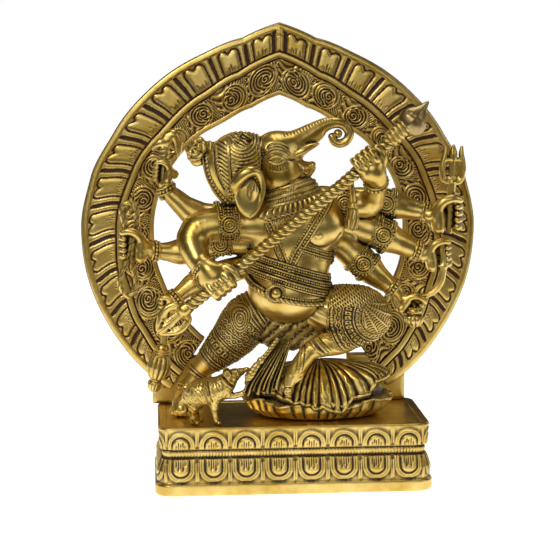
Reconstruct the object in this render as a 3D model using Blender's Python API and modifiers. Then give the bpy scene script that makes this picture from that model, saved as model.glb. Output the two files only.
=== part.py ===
"""Brass figure of a many-armed, elephant-headed dancer in front of a flame-arch aureole.

The pedestal is a hollow casting, open below. The seat and the standing foot are bolted to its
deck from underneath, the figure is brazed up from separate castings, and the aureole lifts
straight up out of two sockets at the back of the deck. Lengths are in millimetres until the
helpers scale them; +X is the viewer's right, +Y the back and +Z up.
"""

import math

import bmesh
import bpy
from mathutils import Matrix, Vector

MM = 0.001
WELD = 0.02 * MM  # points closer than this are one
GAP = 0.4  # clearance between castings that meet
SHELL_LIMIT = 1.6  # the most that a cutter's sharp corner is pushed out, in gaps
SHARP_ANGLE = 40.0
CUT_PAST = 4.0  # how far a cutter runs past the faces it opens
OBJECT_NAME = "dancing_figure_statue"

# Pedestal
BASE_X = 6.0  # the pedestal stands a little to the right of the aureole's centre
BASE_HALF_WIDTH = 117.0
BASE_HALF_DEPTH = 53.5
BASE_CORNER = 14.0
DECK_Z = 57.0
DECK_THICKNESS = 5.0
WALL_INSET = 12.0
BASE_PROFILE = (  # (height, inset from the plinth's face)
    (0.0, 0.0), (8.8, 0.0), (10.4, 2.6), (20.0, 2.4), (30.4, 6.0),
    (31.2, 8.0), (37.4, 8.0), (38.2, 5.4), (54.5, 3.8), (DECK_Z, 4.0),
)

# Aureole
ARCH_CENTRE_Z = 214.5
ARCH_FRONT = 41.0
ARCH_BACK = 49.0
ARCH_BULGE = 2.0
FOOT_ANGLE = 146.0  # the bands end here, measured from the apex
OUTER_RAIL = ((0, 177.0), (11, 167.0), (25, 164.3), (42, 164.5), (60, 165.8),
              (75, 170.0), (90, 173.0), (105, 173.5), (120, 173.0), (138, 174.0),
              (FOOT_ANGLE, 174.0))
RIDGE_RAIL = ((0, 149.5), (15, 136.5), (30, 131.8), (48, 130.5), (68, 134.8),
              (90, 139.5), (110, 144.0), (125, 149.5), (138, 154.0),
              (FOOT_ANGLE, 156.0))
INNER_RAIL = ((0, 115.0), (13, 106.5), (28, 103.5), (48, 106.5), (70, 108.5),
              (90, 109.8), (112, 112.0), (128, 114.5), (138, 117.0),
              (FOOT_ANGLE, 118.5))
ARCH_STEPS = 19  # stations on each side of the apex
FOOT_INNER_X = 60.0
FOOT_OUTER_X = 113.0
FOOT_TOP_Z = 100.0
TENON_X = 86.0
TENON_Y = 44.5
TENON_SIZE = (20.0, 5.0, 12.0)
TENON_OVERLAP = 2.0  # how far a tenon runs up into its foot
FOOT_SETBACK = 0.6  # the feet are this much thinner than the bands
SOCKET_BOSS = (30.0, 18.0, 17.0)
BOSS_OVERLAP = 3.0  # how far a socket's boss runs into the back wall

# Fixings
BOLT_RADIUS = 2.5
BOLT_HOLE_RADIUS = 2.9
BOLT_HEAD_RADIUS = 4.6
BOLT_HEAD_HEIGHT = 4.0
BOLT_GRIP = 9.0  # how far a bolt reaches above the deck
WASHER_RADIUS = 6.0
WASHER_THICKNESS = 1.2
BOLTS = {"seat_bolt_left": (4.0, -4.0), "seat_bolt_right": (56.0, 0.0), "foot_bolt": (-84.0, 9.0)}

# Brass tones: colour, roughness
BRASS = (0.52, 0.36, 0.10)
BRIGHT = (0.60, 0.44, 0.14)
DARK = (0.36, 0.23, 0.07)
STEEL = (0.45, 0.45, 0.46)


# ---------------------------------------------------------------- helpers

def clear_scene():
    for obj in list(bpy.data.objects):
        bpy.data.objects.remove(obj, do_unlink=True)


def collection(name):
    made = bpy.data.collections.new(name)
    bpy.context.scene.collection.children.link(made)
    return made


def brass(name, colour, roughness=0.3):
    made = bpy.data.materials.new(name)
    made.use_nodes = True
    shader = made.node_tree.nodes["Principled BSDF"]
    shader.inputs["Base Color"].default_value = (*colour, 1.0)
    shader.inputs["Metallic"].default_value = 1.0
    shader.inputs["Roughness"].default_value = roughness
    return made


def at(x, y, z):
    return Vector((x, y, z)) * MM


def new_object(name, mesh):
    obj = bpy.data.objects.new(name, mesh)
    bpy.context.scene.collection.objects.link(obj)
    return obj


def from_bmesh(name, bm):
    bmesh.ops.recalc_face_normals(bm, faces=bm.faces)
    mesh = bpy.data.meshes.new(name)
    bm.to_mesh(mesh)
    bm.free()
    return new_object(name, mesh)


def evaluated(obj):
    """The object's mesh with its modifiers or curve bevel made real, welded, as a new object."""
    depsgraph = bpy.context.evaluated_depsgraph_get()
    mesh = bpy.data.meshes.new_from_object(obj.evaluated_get(depsgraph))
    bm = bmesh.new()
    bm.from_mesh(mesh)
    bmesh.ops.remove_doubles(bm, verts=bm.verts, dist=WELD)
    bmesh.ops.transform(bm, matrix=obj.matrix_world, verts=bm.verts)
    bpy.data.objects.remove(obj, do_unlink=True)
    return from_bmesh("solid", bm)


def ball(centre, radii, tilt=0.0, segments=12, rings=8):
    """An ellipsoid; tilt turns it about Y, in degrees."""
    bm = bmesh.new()
    bmesh.ops.create_uvsphere(bm, u_segments=segments, v_segments=rings, radius=MM)
    turn = Matrix.Rotation(math.radians(tilt), 4, "Y")
    place = Matrix.Translation(at(*centre)) @ turn @ Matrix.Diagonal((*radii, 1.0))
    bmesh.ops.transform(bm, matrix=place, verts=bm.verts)
    return from_bmesh("ball", bm)


def tube(stations, closed=False, sides=10, steps=2):
    """A round bar through (x, y, z, radius) stations, with filled ends unless it is closed."""
    curve = bpy.data.curves.new("tube", "CURVE")
    curve.dimensions = "3D"
    curve.bevel_depth = MM
    curve.bevel_resolution = sides // 2 - 2
    curve.use_fill_caps = True
    curve.resolution_u = steps
    spline = curve.splines.new("BEZIER")
    spline.bezier_points.add(len(stations) - 1)
    spline.use_cyclic_u = closed
    for point, (x, y, z, radius) in zip(spline.bezier_points, stations):
        point.co = at(x, y, z)
        point.radius = radius
        point.handle_left_type = "AUTO"
        point.handle_right_type = "AUTO"
    return evaluated(new_object("tube", curve))


def rod(bottom, top, radius, sides=12):
    """A plain cylinder between two points."""
    start, end = at(*bottom), at(*top)
    bm = bmesh.new()
    bmesh.ops.create_cone(bm, cap_ends=True, segments=sides, radius1=radius * MM,
                          radius2=radius * MM, depth=(end - start).length)
    turn = (end - start).to_track_quat("Z", "Y").to_matrix().to_4x4()
    bmesh.ops.transform(bm, matrix=Matrix.Translation((start + end) / 2) @ turn, verts=bm.verts)
    return from_bmesh("rod", bm)


def block(centre, size):
    bm = bmesh.new()
    bmesh.ops.create_cube(bm, size=MM)
    bmesh.ops.transform(bm, matrix=Matrix.Translation(at(*centre)) @ Matrix.Diagonal((*size, 1.0)),
                        verts=bm.verts)
    return from_bmesh("block", bm)


def loft(rings):
    """A solid skinned over closed rings of points that all have the same count."""
    bm = bmesh.new()
    rows = [[bm.verts.new(at(*point)) for point in ring] for ring in rings]
    count = len(rows[0])
    for lower, upper in zip(rows, rows[1:]):
        for i in range(count):
            j = (i + 1) % count
            bm.faces.new((lower[i], lower[j], upper[j], upper[i]))
    bm.faces.new(rows[0])
    bm.faces.new(rows[-1])
    return from_bmesh("loft", bm)


def turned(profile, bottom, top, steps=14):
    """A turned piece: (height, radius) pairs from the top down, stood on the line bottom-top."""
    bm = bmesh.new()
    verts = [bm.verts.new(at(radius, 0.0, height)) for height, radius in profile]
    for a, b in zip(verts, verts[1:]):
        bm.edges.new((a, b))
    mesh = bpy.data.meshes.new("profile")
    bm.to_mesh(mesh)
    bm.free()
    obj = new_object("turned", mesh)
    screw = obj.modifiers.new("Screw", "SCREW")
    screw.steps = steps
    screw.render_steps = steps
    screw.use_merge_vertices = True
    screw.merge_threshold = WELD
    start, end = at(*bottom), at(*top)
    turn = (end - start).to_track_quat("Z", "Y").to_matrix().to_4x4()
    obj.matrix_world = Matrix.Translation(start) @ turn
    bpy.context.view_layer.update()
    return evaluated(obj)


def plate(outlines, thickness, place):
    """A flat plate from closed outlines in its own XY plane; inner outlines become holes."""
    curve = bpy.data.curves.new("plate", "CURVE")
    curve.dimensions = "2D"
    curve.fill_mode = "BOTH"
    curve.extrude = thickness * MM / 2
    for outline in outlines:
        spline = curve.splines.new("POLY")
        spline.points.add(len(outline) - 1)
        for point, (x, y) in zip(spline.points, outline):
            point.co = (x * MM, y * MM, 0.0, 1.0)
        spline.use_cyclic_u = True
    obj = new_object("plate", curve)
    obj.matrix_world = place
    bpy.context.view_layer.update()
    return evaluated(obj)


def combine(obj, other, operation):
    modifier = obj.modifiers.new(operation, "BOOLEAN")
    modifier.operation = operation
    modifier.solver = "EXACT"
    modifier.object = other
    return evaluated(obj)


def fuse(*solids):
    """One body from solids that overlap."""
    body = solids[0]
    for other in solids[1:]:
        body = combine(body, other, "UNION")
        bpy.data.objects.remove(other, do_unlink=True)
    return body


def grown(obj, by=GAP):
    """A cutter: the object's skin moved outwards."""
    bm = bmesh.new()
    bm.from_mesh(obj.data)
    bm.normal_update()
    moves = [v.normal * min(v.calc_shell_factor(), SHELL_LIMIT) * by * MM for v in bm.verts]
    for vert, move in zip(bm.verts, moves):
        vert.co += move
    return from_bmesh("cutter", bm)


def cut(obj, *cutters):
    """The object less each cutter, which is used up."""
    for cutter in cutters:
        obj = combine(obj, cutter, "DIFFERENCE")
        file_cutter(cutter)
    return obj


def trim(obj, *neighbours):
    """The object cut back so that it stands a gap clear of each neighbour."""
    return cut(obj, *[grown(neighbour) for neighbour in neighbours])


def file_cutter(cutter):
    for owner in list(cutter.users_collection):
        owner.objects.unlink(cutter)
    CUTTERS.objects.link(cutter)
    cutter.hide_render = True
    cutter.display_type = "WIRE"


def keep(obj, name, material, parent=None):
    """Name a finished piece and file it under the object's collection."""
    obj.name = name
    obj.data.name = name
    obj.data.materials.clear()
    obj.data.materials.append(material)
    for face in obj.data.polygons:
        face.material_index = 0
    obj.data.shade_smooth()
    obj.data.set_sharp_from_angle(angle=math.radians(SHARP_ANGLE))
    for owner in list(obj.users_collection):
        owner.objects.unlink(obj)
    PARTS.objects.link(obj)
    obj.parent = parent
    return obj


# ---------------------------------------------------------------- pedestal and fixings

def rounded_rectangle(half_width, half_depth, radius, z, segments=4):
    points = []
    for quarter, (sx, sy) in enumerate(((1, 1), (-1, 1), (-1, -1), (1, -1))):
        for i in range(segments + 1):
            angle = math.radians(90 * quarter + 90 * i / segments)
            points.append((BASE_X + sx * (half_width - radius) + radius * math.cos(angle),
                           sy * (half_depth - radius) + radius * math.sin(angle), z))
    return points


def base_ring(inset, z):
    return rounded_rectangle(BASE_HALF_WIDTH - inset, BASE_HALF_DEPTH - inset,
                             BASE_CORNER - inset * 0.7, z)


def make_pedestal(material):
    body = loft([base_ring(inset, z) for z, inset in BASE_PROFILE])
    ceiling = DECK_Z - DECK_THICKNESS
    body = cut(body, loft([base_ring(WALL_INSET, z) for z in (-CUT_PAST, ceiling)]))
    for side in (-1, 1):
        length, depth, height = SOCKET_BOSS
        boss_y = BASE_HALF_DEPTH - WALL_INSET + BOSS_OVERLAP - depth / 2
        boss = block((side * TENON_X, boss_y, ceiling + 1.0 - height / 2), SOCKET_BOSS)
        body = fuse(body, boss)
        socket = (TENON_SIZE[0] + 2 * GAP, TENON_SIZE[1] + 2 * GAP, 2 * (DECK_THICKNESS + height))
        body = cut(body, block((side * TENON_X, TENON_Y, DECK_Z), socket))
    for x, y in BOLTS.values():
        body = cut(body, rod((x, y, ceiling - CUT_PAST), (x, y, DECK_Z + CUT_PAST), BOLT_HOLE_RADIUS))
    return keep(body, "pedestal_casting", material)


def make_fixings(material):
    """A hexagon bolt and a washer at each fixing, seen only from below."""
    ceiling = DECK_Z - DECK_THICKNESS
    washer_low = ceiling - GAP - WASHER_THICKNESS
    head_top = washer_low - GAP
    for name, (x, y) in BOLTS.items():
        washer = rod((x, y, washer_low), (x, y, ceiling - GAP), WASHER_RADIUS, sides=20)
        washer = cut(washer, rod((x, y, head_top - CUT_PAST), (x, y, ceiling + CUT_PAST),
                                BOLT_HOLE_RADIUS))
        keep(washer, name.replace("bolt", "washer"), material)
        head = rod((x, y, head_top - BOLT_HEAD_HEIGHT), (x, y, head_top), BOLT_HEAD_RADIUS, sides=6)
        shank = rod((x, y, head_top - 1.0), (x, y, DECK_Z + BOLT_GRIP), BOLT_RADIUS)
        keep(fuse(head, shank), name, material)


def bolt_hole(name):
    """A blind hole that clears a bolt's shank above the deck."""
    x, y = BOLTS[name]
    return rod((x, y, DECK_Z - CUT_PAST), (x, y, DECK_Z + BOLT_GRIP + 1.0), BOLT_HOLE_RADIUS)


# ---------------------------------------------------------------- aureole

def rail_radius(rail, angle):
    """The rail's radius at an angle from the apex, eased between its stations."""
    for (a0, r0), (a1, r1) in zip(rail, rail[1:]):
        if angle <= a1:
            t = (angle - a0) / (a1 - a0)
            if a0 > 0:
                t = t * t * (3 - 2 * t)
            return r0 + (r1 - r0) * t
    return rail[-1][1]


def arch_section(angle):
    """One closed cross-section of the aureole, at a signed angle from its apex."""
    size = abs(angle)
    outer = rail_radius(OUTER_RAIL, size)
    ridge = rail_radius(RIDGE_RAIL, size)
    inner = rail_radius(INNER_RAIL, size)
    front, high = ARCH_FRONT, ARCH_FRONT - ARCH_BULGE
    shape = ((outer, ARCH_BACK), (outer, front + 0.5), (outer - 5, high), (ridge + 8, high + 0.6),
             (ridge + 4, front + 0.6), (ridge, high), (ridge - 4, front + 0.6),
             (inner + 5, front), (inner, high + 0.5), (inner, ARCH_BACK))
    turn = math.radians(angle)
    return [(radius * math.sin(turn), y, ARCH_CENTRE_Z + radius * math.cos(turn))
            for radius, y in shape]


def make_aureole(material, pivot):
    angles = [FOOT_ANGLE * i / ARCH_STEPS for i in range(-ARCH_STEPS, ARCH_STEPS + 1)]
    body = loft([arch_section(angle) for angle in angles])
    for side in (-1, 1):
        width = FOOT_OUTER_X - FOOT_INNER_X
        low = DECK_Z + GAP
        foot = block((side * (FOOT_INNER_X + width / 2), (ARCH_FRONT + ARCH_BACK) / 2,
                      (low + FOOT_TOP_Z) / 2),
                     (width, ARCH_BACK - ARCH_FRONT - FOOT_SETBACK, FOOT_TOP_Z - low))
        tenon = block((side * TENON_X, TENON_Y, low + TENON_OVERLAP - TENON_SIZE[2] / 2), TENON_SIZE)
        body = fuse(body, foot, tenon)
    piece = keep(body, "aureole_casting", material, pivot)
    piece.matrix_parent_inverse = Matrix.Translation(-pivot.location)
    return piece


# ---------------------------------------------------------------- seat, sash and mouse

SEAT_CENTRE = (28.0, -2.0)
SEAT_RINGS = (  # (height, half width, half depth)
    (DECK_Z + GAP, 50.0, 28.0), (63.0, 60.0, 34.0), (76.0, 66.0, 37.0), (90.0, 60.0, 33.0),
    (101.0, 46.0, 26.0), (108.0, 26.0, 16.0),
)


def make_seat():
    rings = []
    for z, half_width, half_depth in SEAT_RINGS:
        rings.append([(SEAT_CENTRE[0] + half_width * math.cos(math.tau * i / 20),
                       SEAT_CENTRE[1] + half_depth * math.sin(math.tau * i / 20), z)
                      for i in range(20)])
    seat = loft(rings)
    return cut(seat, bolt_hole("seat_bolt_left"), bolt_hole("seat_bolt_right"))


def make_mouse():
    body = tube(((-88, -31, 82, 4), (-80, -32, 84, 9), (-64, -33, 86, 10), (-52, -34, 90, 8),
                 (-43, -36, 99, 7), (-33, -37, 104, 2)), steps=2)
    hind = rod((-77, -31, DECK_Z + GAP), (-78, -31, 82), 3.4, sides=8)
    fore = rod((-60, -36, DECK_Z + GAP), (-58, -35, 84), 3.2, sides=8)
    paw = tube(((-54, -37, 84, 3), (-44, -38, 82, 2.8), (-36, -38, 85, 2.4)), sides=8, steps=2)
    tail = tube(((-82, -29, 78, 2.4), (-81, -26, 68, 2.2), (-92, -22, 65, 1.6)), sides=8, steps=2)
    return fuse(body, hind, fore, paw, tail)


def make_sash():
    """The pleated end of the waist cloth, a fan that falls over the front of the seat."""
    rings = []
    for x, y, z, half_width, half_depth in ((-3, -34, 124, 4, 3), (-10, -40, 112, 8, 3.5),
                                            (-19, -44, 98, 12, 3.5), (-25, -46, 86, 15, 3)):
        rings.append([(x + half_width * math.cos(math.tau * i / 10) * 0.95,
                       y + half_depth * math.sin(math.tau * i / 10),
                       z + half_width * math.cos(math.tau * i / 10) * -0.35) for i in range(10)])
    return loft(rings)


# ---------------------------------------------------------------- body

def make_torso():
    chest = ball((11, -7, 217), (41, 26, 40), segments=16, rings=10)
    belly = ball((4, -12, 165), (35, 29, 31), segments=16, rings=10)
    return fuse(chest, belly)


def make_hips():
    return ball((4, -4, 133), (36, 25, 23), segments=16, rings=10)


def make_standing_leg():
    leg = tube(((-16, -4, 152, 15), (-30, -1, 138, 20), (-44, 3, 122, 18), (-58, 7, 108, 13),
                (-72, 10, 94, 8.5), (-80, 11, 82, 6.5), (-82, 11, 74, 6)))
    foot = ball((-84, 5, 68), (9, 14, 10.2))
    return cut(fuse(leg, foot), bolt_hole("foot_bolt"))


def make_bent_leg():
    thigh = tube(((10, -8, 149, 14), (30, -14, 151, 20), (50, -19, 149, 24), (68, -21, 147, 20),
                  (81, -21, 147, 9)), steps=3)
    shin = tube(((64, -26, 134, 10), (44, -33, 127, 11), (26, -37, 123, 9), (17, -39, 117, 7.5),
                 (8, -41, 105, 7.5), (0, -43, 92, 5)), sides=8)
    return fuse(thigh, shin)


# ---------------------------------------------------------------- head

HEAD_Y = -14.0


def make_head():
    skull = ball((-6, HEAD_Y, 280), (24, 18, 20), segments=16, rings=10)
    cheek = ball((-3, HEAD_Y, 268), (20, 17, 19), segments=16, rings=10)
    jaw = tube(((4, HEAD_Y, 266, 10), (17, HEAD_Y, 266, 7), (26, HEAD_Y, 269, 3)), sides=10, steps=2)
    return fuse(skull, cheek, jaw)


def make_trunk():
    """Rises from the brow and curls back on itself at the tip."""
    return tube(((4, HEAD_Y, 286, 13), (17, HEAD_Y, 296, 10), (30, HEAD_Y, 305, 7.5),
                 (42, HEAD_Y, 309, 5.6), (51, HEAD_Y, 306, 4.6), (54, HEAD_Y, 299, 4.2),
                 (50, HEAD_Y, 292, 4), (43, HEAD_Y, 291, 3.6)), sides=12)


def make_tusk():
    return tube(((14, -25, 281, 4), (20, -28, 285, 3.4), (27, -30, 290, 1.2)), sides=8, steps=2)


def make_bun():
    return ball((-71, -10, 284), (10, 9, 11))


def make_ear(side):
    """A hanging leaf; side is -1 for the near one and 1 for the far one."""
    y = HEAD_Y + side * 21.0
    return ball((-30, y, 250), (11.5, 3.6, 21), tilt=-8, segments=14, rings=8)


def make_crown():
    return ball((-42, -12, 270), (25, 21, 33), tilt=18, segments=16, rings=11)


# ---------------------------------------------------------------- arms

def arm(stations, hand, hand_radii, tilt=0.0):
    """A tapering arm that ends in a closed fist."""
    wrist = stations[-1]
    reach = (*hand, min(wrist[3], *hand_radii) * 0.8)
    return fuse(tube([*stations, reach], sides=8, steps=2),
                ball(hand, hand_radii, tilt=tilt, segments=10, rings=7))


def folded_arm(upper, fore, hand, hand_radii, tilt):
    """An arm bent back at the elbow, where two tapering pieces overlap."""
    return fuse(tube(upper, sides=8, steps=2), arm(fore, hand, hand_radii, tilt))


def make_arms():
    """Each arm with its hand, in the order in which they are trimmed against each other."""
    return {
        "arm_front_right": folded_arm(
            ((-20, -14, 222, 14), (-48, -15, 223, 14.5), (-72, -17, 220, 12), (-82, -19, 217, 6)),
            ((-79, -18, 219, 6), (-76, -25, 208, 11.5), (-69, -35, 192, 9), (-62, -40, 187, 8.5)),
            (-52, -42, 183), (12, 9.5, 13), 40),
        "arm_front_left": folded_arm(
            ((38, -8, 240, 12), (58, -8, 238, 12), (78, -9, 234, 10), (86, -11, 234, 5)),
            ((82, -10, 232, 6), (80, -16, 244, 9.5), (75, -30, 262, 8), (70, -38, 268, 8)),
            (62, -43, 272), (14, 9.5, 14), -40),
        "arm_back_right_upper": arm(
            ((-20, 8, 224, 11), (-45, 11, 227, 11.5), (-66, 12, 224, 11), (-76, 12, 227, 10),
             (-88, 10, 238, 8.5), (-98, 9, 248, 7)), (-103, 7, 262), (6, 6, 14)),
        "arm_back_right_middle": arm(
            ((-22, 12, 204, 10), (-48, 14, 205, 11), (-74, 14, 198, 10), (-92, 12, 197, 8.5),
             (-108, 9, 197, 7.5)), (-120, 6, 204), (10, 7, 12)),
        "arm_back_right_lower": arm(
            ((-22, 12, 184, 10), (-46, 14, 180, 10.5), (-66, 12, 174, 9.5), (-78, 9, 168, 8),
             (-88, 5, 162, 7)), (-98, 1, 154), (8, 7, 9)),
        "arm_back_left_upper": arm(
            ((36, 10, 232, 10), (62, 15, 238, 11.5), (84, 15, 237, 11), (106, 12, 233, 9.5),
             (126, 8, 230, 7.5)), (140, 5, 229), (10, 7, 14)),
        "arm_back_left_middle": arm(
            ((34, 8, 216, 10), (56, 9, 222, 12), (76, 9, 216, 12), (98, 7, 205, 10.5),
             (122, 3, 195, 7.5)), (134, 0, 196), (10, 7, 12)),
        "arm_back_left_lower": arm(
            ((34, 5, 204, 9), (53, 5, 201, 11.5), (68, 3, 186, 11), (84, 0, 176, 9.5),
             (97, -3, 165, 7.5)), (106, -6, 156), (8, 7, 10), 45),
    }


# ---------------------------------------------------------------- held items

SPEAR = ((-84, -38, 156), (-20, -43, 207), (45, -45, 259), (84, -43, 294))
SPEAR_RADIUS = 5.2


def along_spear(start, end, radii):
    """Stations of a piece that carries on in the spear's line, from one point to another."""
    first, last = Vector(start), Vector(end)
    count = len(radii) - 1
    return [(*first.lerp(last, i / count), radius) for i, radius in enumerate(radii)]


def make_spear_shaft():
    return tube([(*point, SPEAR_RADIUS) for point in SPEAR], sides=12, steps=3)


def make_ferrule():
    return tube(along_spear((84.6, -42.9, 294.6), (97, -42, 307), (5, 7.6, 5.6, 7.2, 5.6, 6)),
                sides=12, steps=1)


def make_blade():
    """A bud-shaped blade, flattened front to back."""
    blade = tube(along_spear((97.6, -42, 307.6), (115, -41, 325), (5, 12, 11.4, 7.5, 2)),
                 sides=12, steps=2)
    for vert in blade.data.vertices:
        vert.co.y = (vert.co.y / MM + 42) * 0.5 * MM - 42 * MM
    return blade


def trident(root, tip, width, thickness, up):
    """A three-pointed head with two slots, lying in the plane of root-tip and square to up."""
    start, end = at(*root), at(*tip)
    length = (end - start).length / MM
    half = width / 2
    outline = [(-0.25 * half, 0), (-half, 0.3 * length), (-0.85 * half, 0.9 * length),
               (-0.45 * half, 0.62 * length), (0, length), (0.45 * half, 0.62 * length),
               (0.85 * half, 0.9 * length), (half, 0.3 * length), (0.25 * half, 0)]
    slots = []
    for side in (-1, 1):
        slots.append([(side * 0.28 * half, 0.22 * length), (side * 0.66 * half, 0.3 * length),
                      (side * 0.55 * half, 0.55 * length), (side * 0.3 * half, 0.5 * length)])
    y_axis = (end - start).normalized()
    z_axis = Vector(up).normalized()
    x_axis = y_axis.cross(z_axis)
    place = Matrix((x_axis, y_axis, z_axis)).transposed().to_4x4()
    place.translation = start
    return plate([outline] + slots, thickness, place)


def make_spear_butt():
    return trident((-86.5, -37.6, 154), (-108, -36, 135), 24, 5, (0, -1, 0))


def make_staff():
    """A short staff with a trident head, held in the upper left hand."""
    head = trident((145, 2, 258), (146, 2, 287), 17, 5, (0, -1, 0))
    shaft = rod((143.5, 2, 214), (145, 2, 261), 3.2, sides=10)
    return fuse(head, shaft)


def make_goad():
    stem = rod((-102, 7, 246), (-98, 7, 298), 3.0, sides=10)
    head = tube(((-104, 7, 288, 4), (-98, 7, 294, 6), (-90, 7, 292, 4)), sides=8, steps=2)
    return fuse(stem, head)


def make_noose():
    """A cord bent to a ring above the hand and a long loop below it."""
    return tube(((-124, 3, 224, 2.2), (-125, 3, 236, 2.4), (-131, 3, 240, 2.4), (-137, 3, 234, 2.4),
                 (-134, 3, 222, 2.4), (-129, 3, 208, 2.4), (-135, 3, 188, 2.4), (-139, 3, 170, 2.4),
                 (-132, 3, 160, 2.4), (-126, 3, 172, 2.2)), sides=8, steps=2)


def make_mace():
    handle = rod((-99, 2, 160), (-103, 1, 112), 3.0, sides=10)
    head = turned(((41, 0.0), (41, 5.0), (38, 7.6), (34, 6.0), (30, 8.6), (20, 9.6), (12, 8.0),
                   (9, 5.4), (5, 6.4), (1, 4.6), (0, 0.0)), (-112, 0, 79), (-102.5, 1, 119))
    return fuse(handle, head)


def make_sword():
    return tube(((136, -3, 204, 3), (138, -3, 186, 3), (136, -3, 172, 3.2), (127, -3, 161, 3),
                 (114, -3, 157, 1)), sides=8, steps=3)


def make_sweet():
    return ball((112, -9, 141), (8, 8, 8.5))


# ---------------------------------------------------------------- ornaments

def make_collar():
    """The stack of necklaces between the cheek and the chest."""
    return ball((6, -13, 247), (27, 24, 11), tilt=-8, segments=16, rings=8)


def make_girdle():
    """A beaded belt that hangs low round the belly."""
    rx, ry, drop = 37.6, 31.8, 12.0
    stations = []
    for i in range(16):
        angle = math.tau * i / 16
        stations.append((4 + rx * math.cos(angle), -12 + ry * math.sin(angle),
                         180 + drop * math.sin(angle), 2.2))
    return tube(stations, closed=True, sides=8, steps=1)


def make_medallion():
    return rod((-10, -41, 166), (-10, -47, 166), 7.5, sides=16)


def make_tassel():
    """Hangs from the front left armlet, clear of the chest."""
    return ball((58, -29, 231), (5, 4.5, 12), segments=10)


# ---------------------------------------------------------------- assembly

def place_figure():
    tones = {"body": brass("figure_brass", BRASS, 0.28), "bright": brass("bright_brass", BRIGHT, 0.22),
             "chased": brass("chased_brass", BRASS, 0.38), "dark": brass("dark_brass", DARK, 0.4)}

    def tone(name, base):
        made = tones[base].copy()
        made.name = name + "_finish"
        return made

    def done(obj, name, base="body"):
        return keep(obj, name, tone(name, base))

    seat = done(make_seat(), "seat_draped_cushion", "chased")
    torso = done(make_torso(), "torso")
    hips = done(trim(make_hips(), torso, seat), "hips_wrap", "chased")

    done(make_spear_butt(), "spear_butt_trident", "bright")
    shaft = done(make_spear_shaft(), "spear_twisted_shaft", "bright")
    done(trim(make_ferrule(), shaft), "spear_ferrule", "chased")
    done(make_blade(), "spear_blade", "dark")

    done(trim(make_standing_leg(), torso, hips), "leg_standing", "chased")
    bent = done(trim(make_bent_leg(), torso, hips, seat), "leg_bent", "chased")
    done(trim(make_sash(), seat, bent, hips), "sash_pleats", "chased")
    done(make_mouse(), "mouse", "bright")

    head = done(trim(make_head(), torso), "head")
    trunk = done(trim(make_trunk(), head), "trunk")
    done(trim(make_tusk(), head, trunk), "tusk", "bright")
    crown = done(trim(make_crown(), head, torso), "headdress", "chased")
    done(trim(make_bun(), crown), "hair_bun", "chased")
    near_ear = done(trim(make_ear(-1), head, crown, torso), "ear_near")
    far_ear = done(trim(make_ear(1), head, crown, torso), "ear_far")

    medallion = done(make_medallion(), "girdle_medallion", "bright")
    girdle = done(trim(make_girdle(), medallion), "waist_girdle", "bright")
    done(trim(make_collar(), head, torso, near_ear, far_ear, crown), "necklace_collar", "chased")
    goad = done(make_goad(), "goad")
    noose = done(make_noose(), "noose")
    mace = done(make_mace(), "mace", "chased")
    staff = done(make_staff(), "staff_trident", "bright")
    sword = done(make_sword(), "curved_sword", "bright")
    sweet = done(make_sweet(), "sweet")
    beside = {
        "arm_front_right": [shaft],
        "arm_front_left": [shaft],
        "arm_back_right_upper": [goad, far_ear],
        "arm_back_right_middle": [noose],
        "arm_back_right_lower": [mace, girdle],
        "arm_back_left_upper": [staff],
        "arm_back_left_middle": [sword],
        "arm_back_left_lower": [sword, sweet],
    }
    placed = []
    for name, made in make_arms().items():
        placed.append(done(trim(made, torso, *beside[name], *placed), name))

    done(make_tassel(), "hanging_tassel", "bright")


clear_scene()
PARTS = collection(OBJECT_NAME)
CUTTERS = collection("cutters")
aureole_pivot = bpy.data.objects.new("aureole_lift_axis", None)
aureole_pivot.location = at(0, TENON_Y, DECK_Z)
PARTS.objects.link(aureole_pivot)
make_pedestal(brass("pedestal_finish", BRASS, 0.34))
make_fixings(brass("fixing_finish", STEEL, 0.4))
place_figure()
make_aureole(brass("aureole_finish", BRIGHT, 0.32), aureole_pivot)
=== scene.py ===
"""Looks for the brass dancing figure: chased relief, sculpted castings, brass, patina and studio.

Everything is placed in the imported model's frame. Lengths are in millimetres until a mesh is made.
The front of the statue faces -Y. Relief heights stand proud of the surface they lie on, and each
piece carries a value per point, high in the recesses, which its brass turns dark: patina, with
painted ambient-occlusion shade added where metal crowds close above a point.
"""

import math

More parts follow.
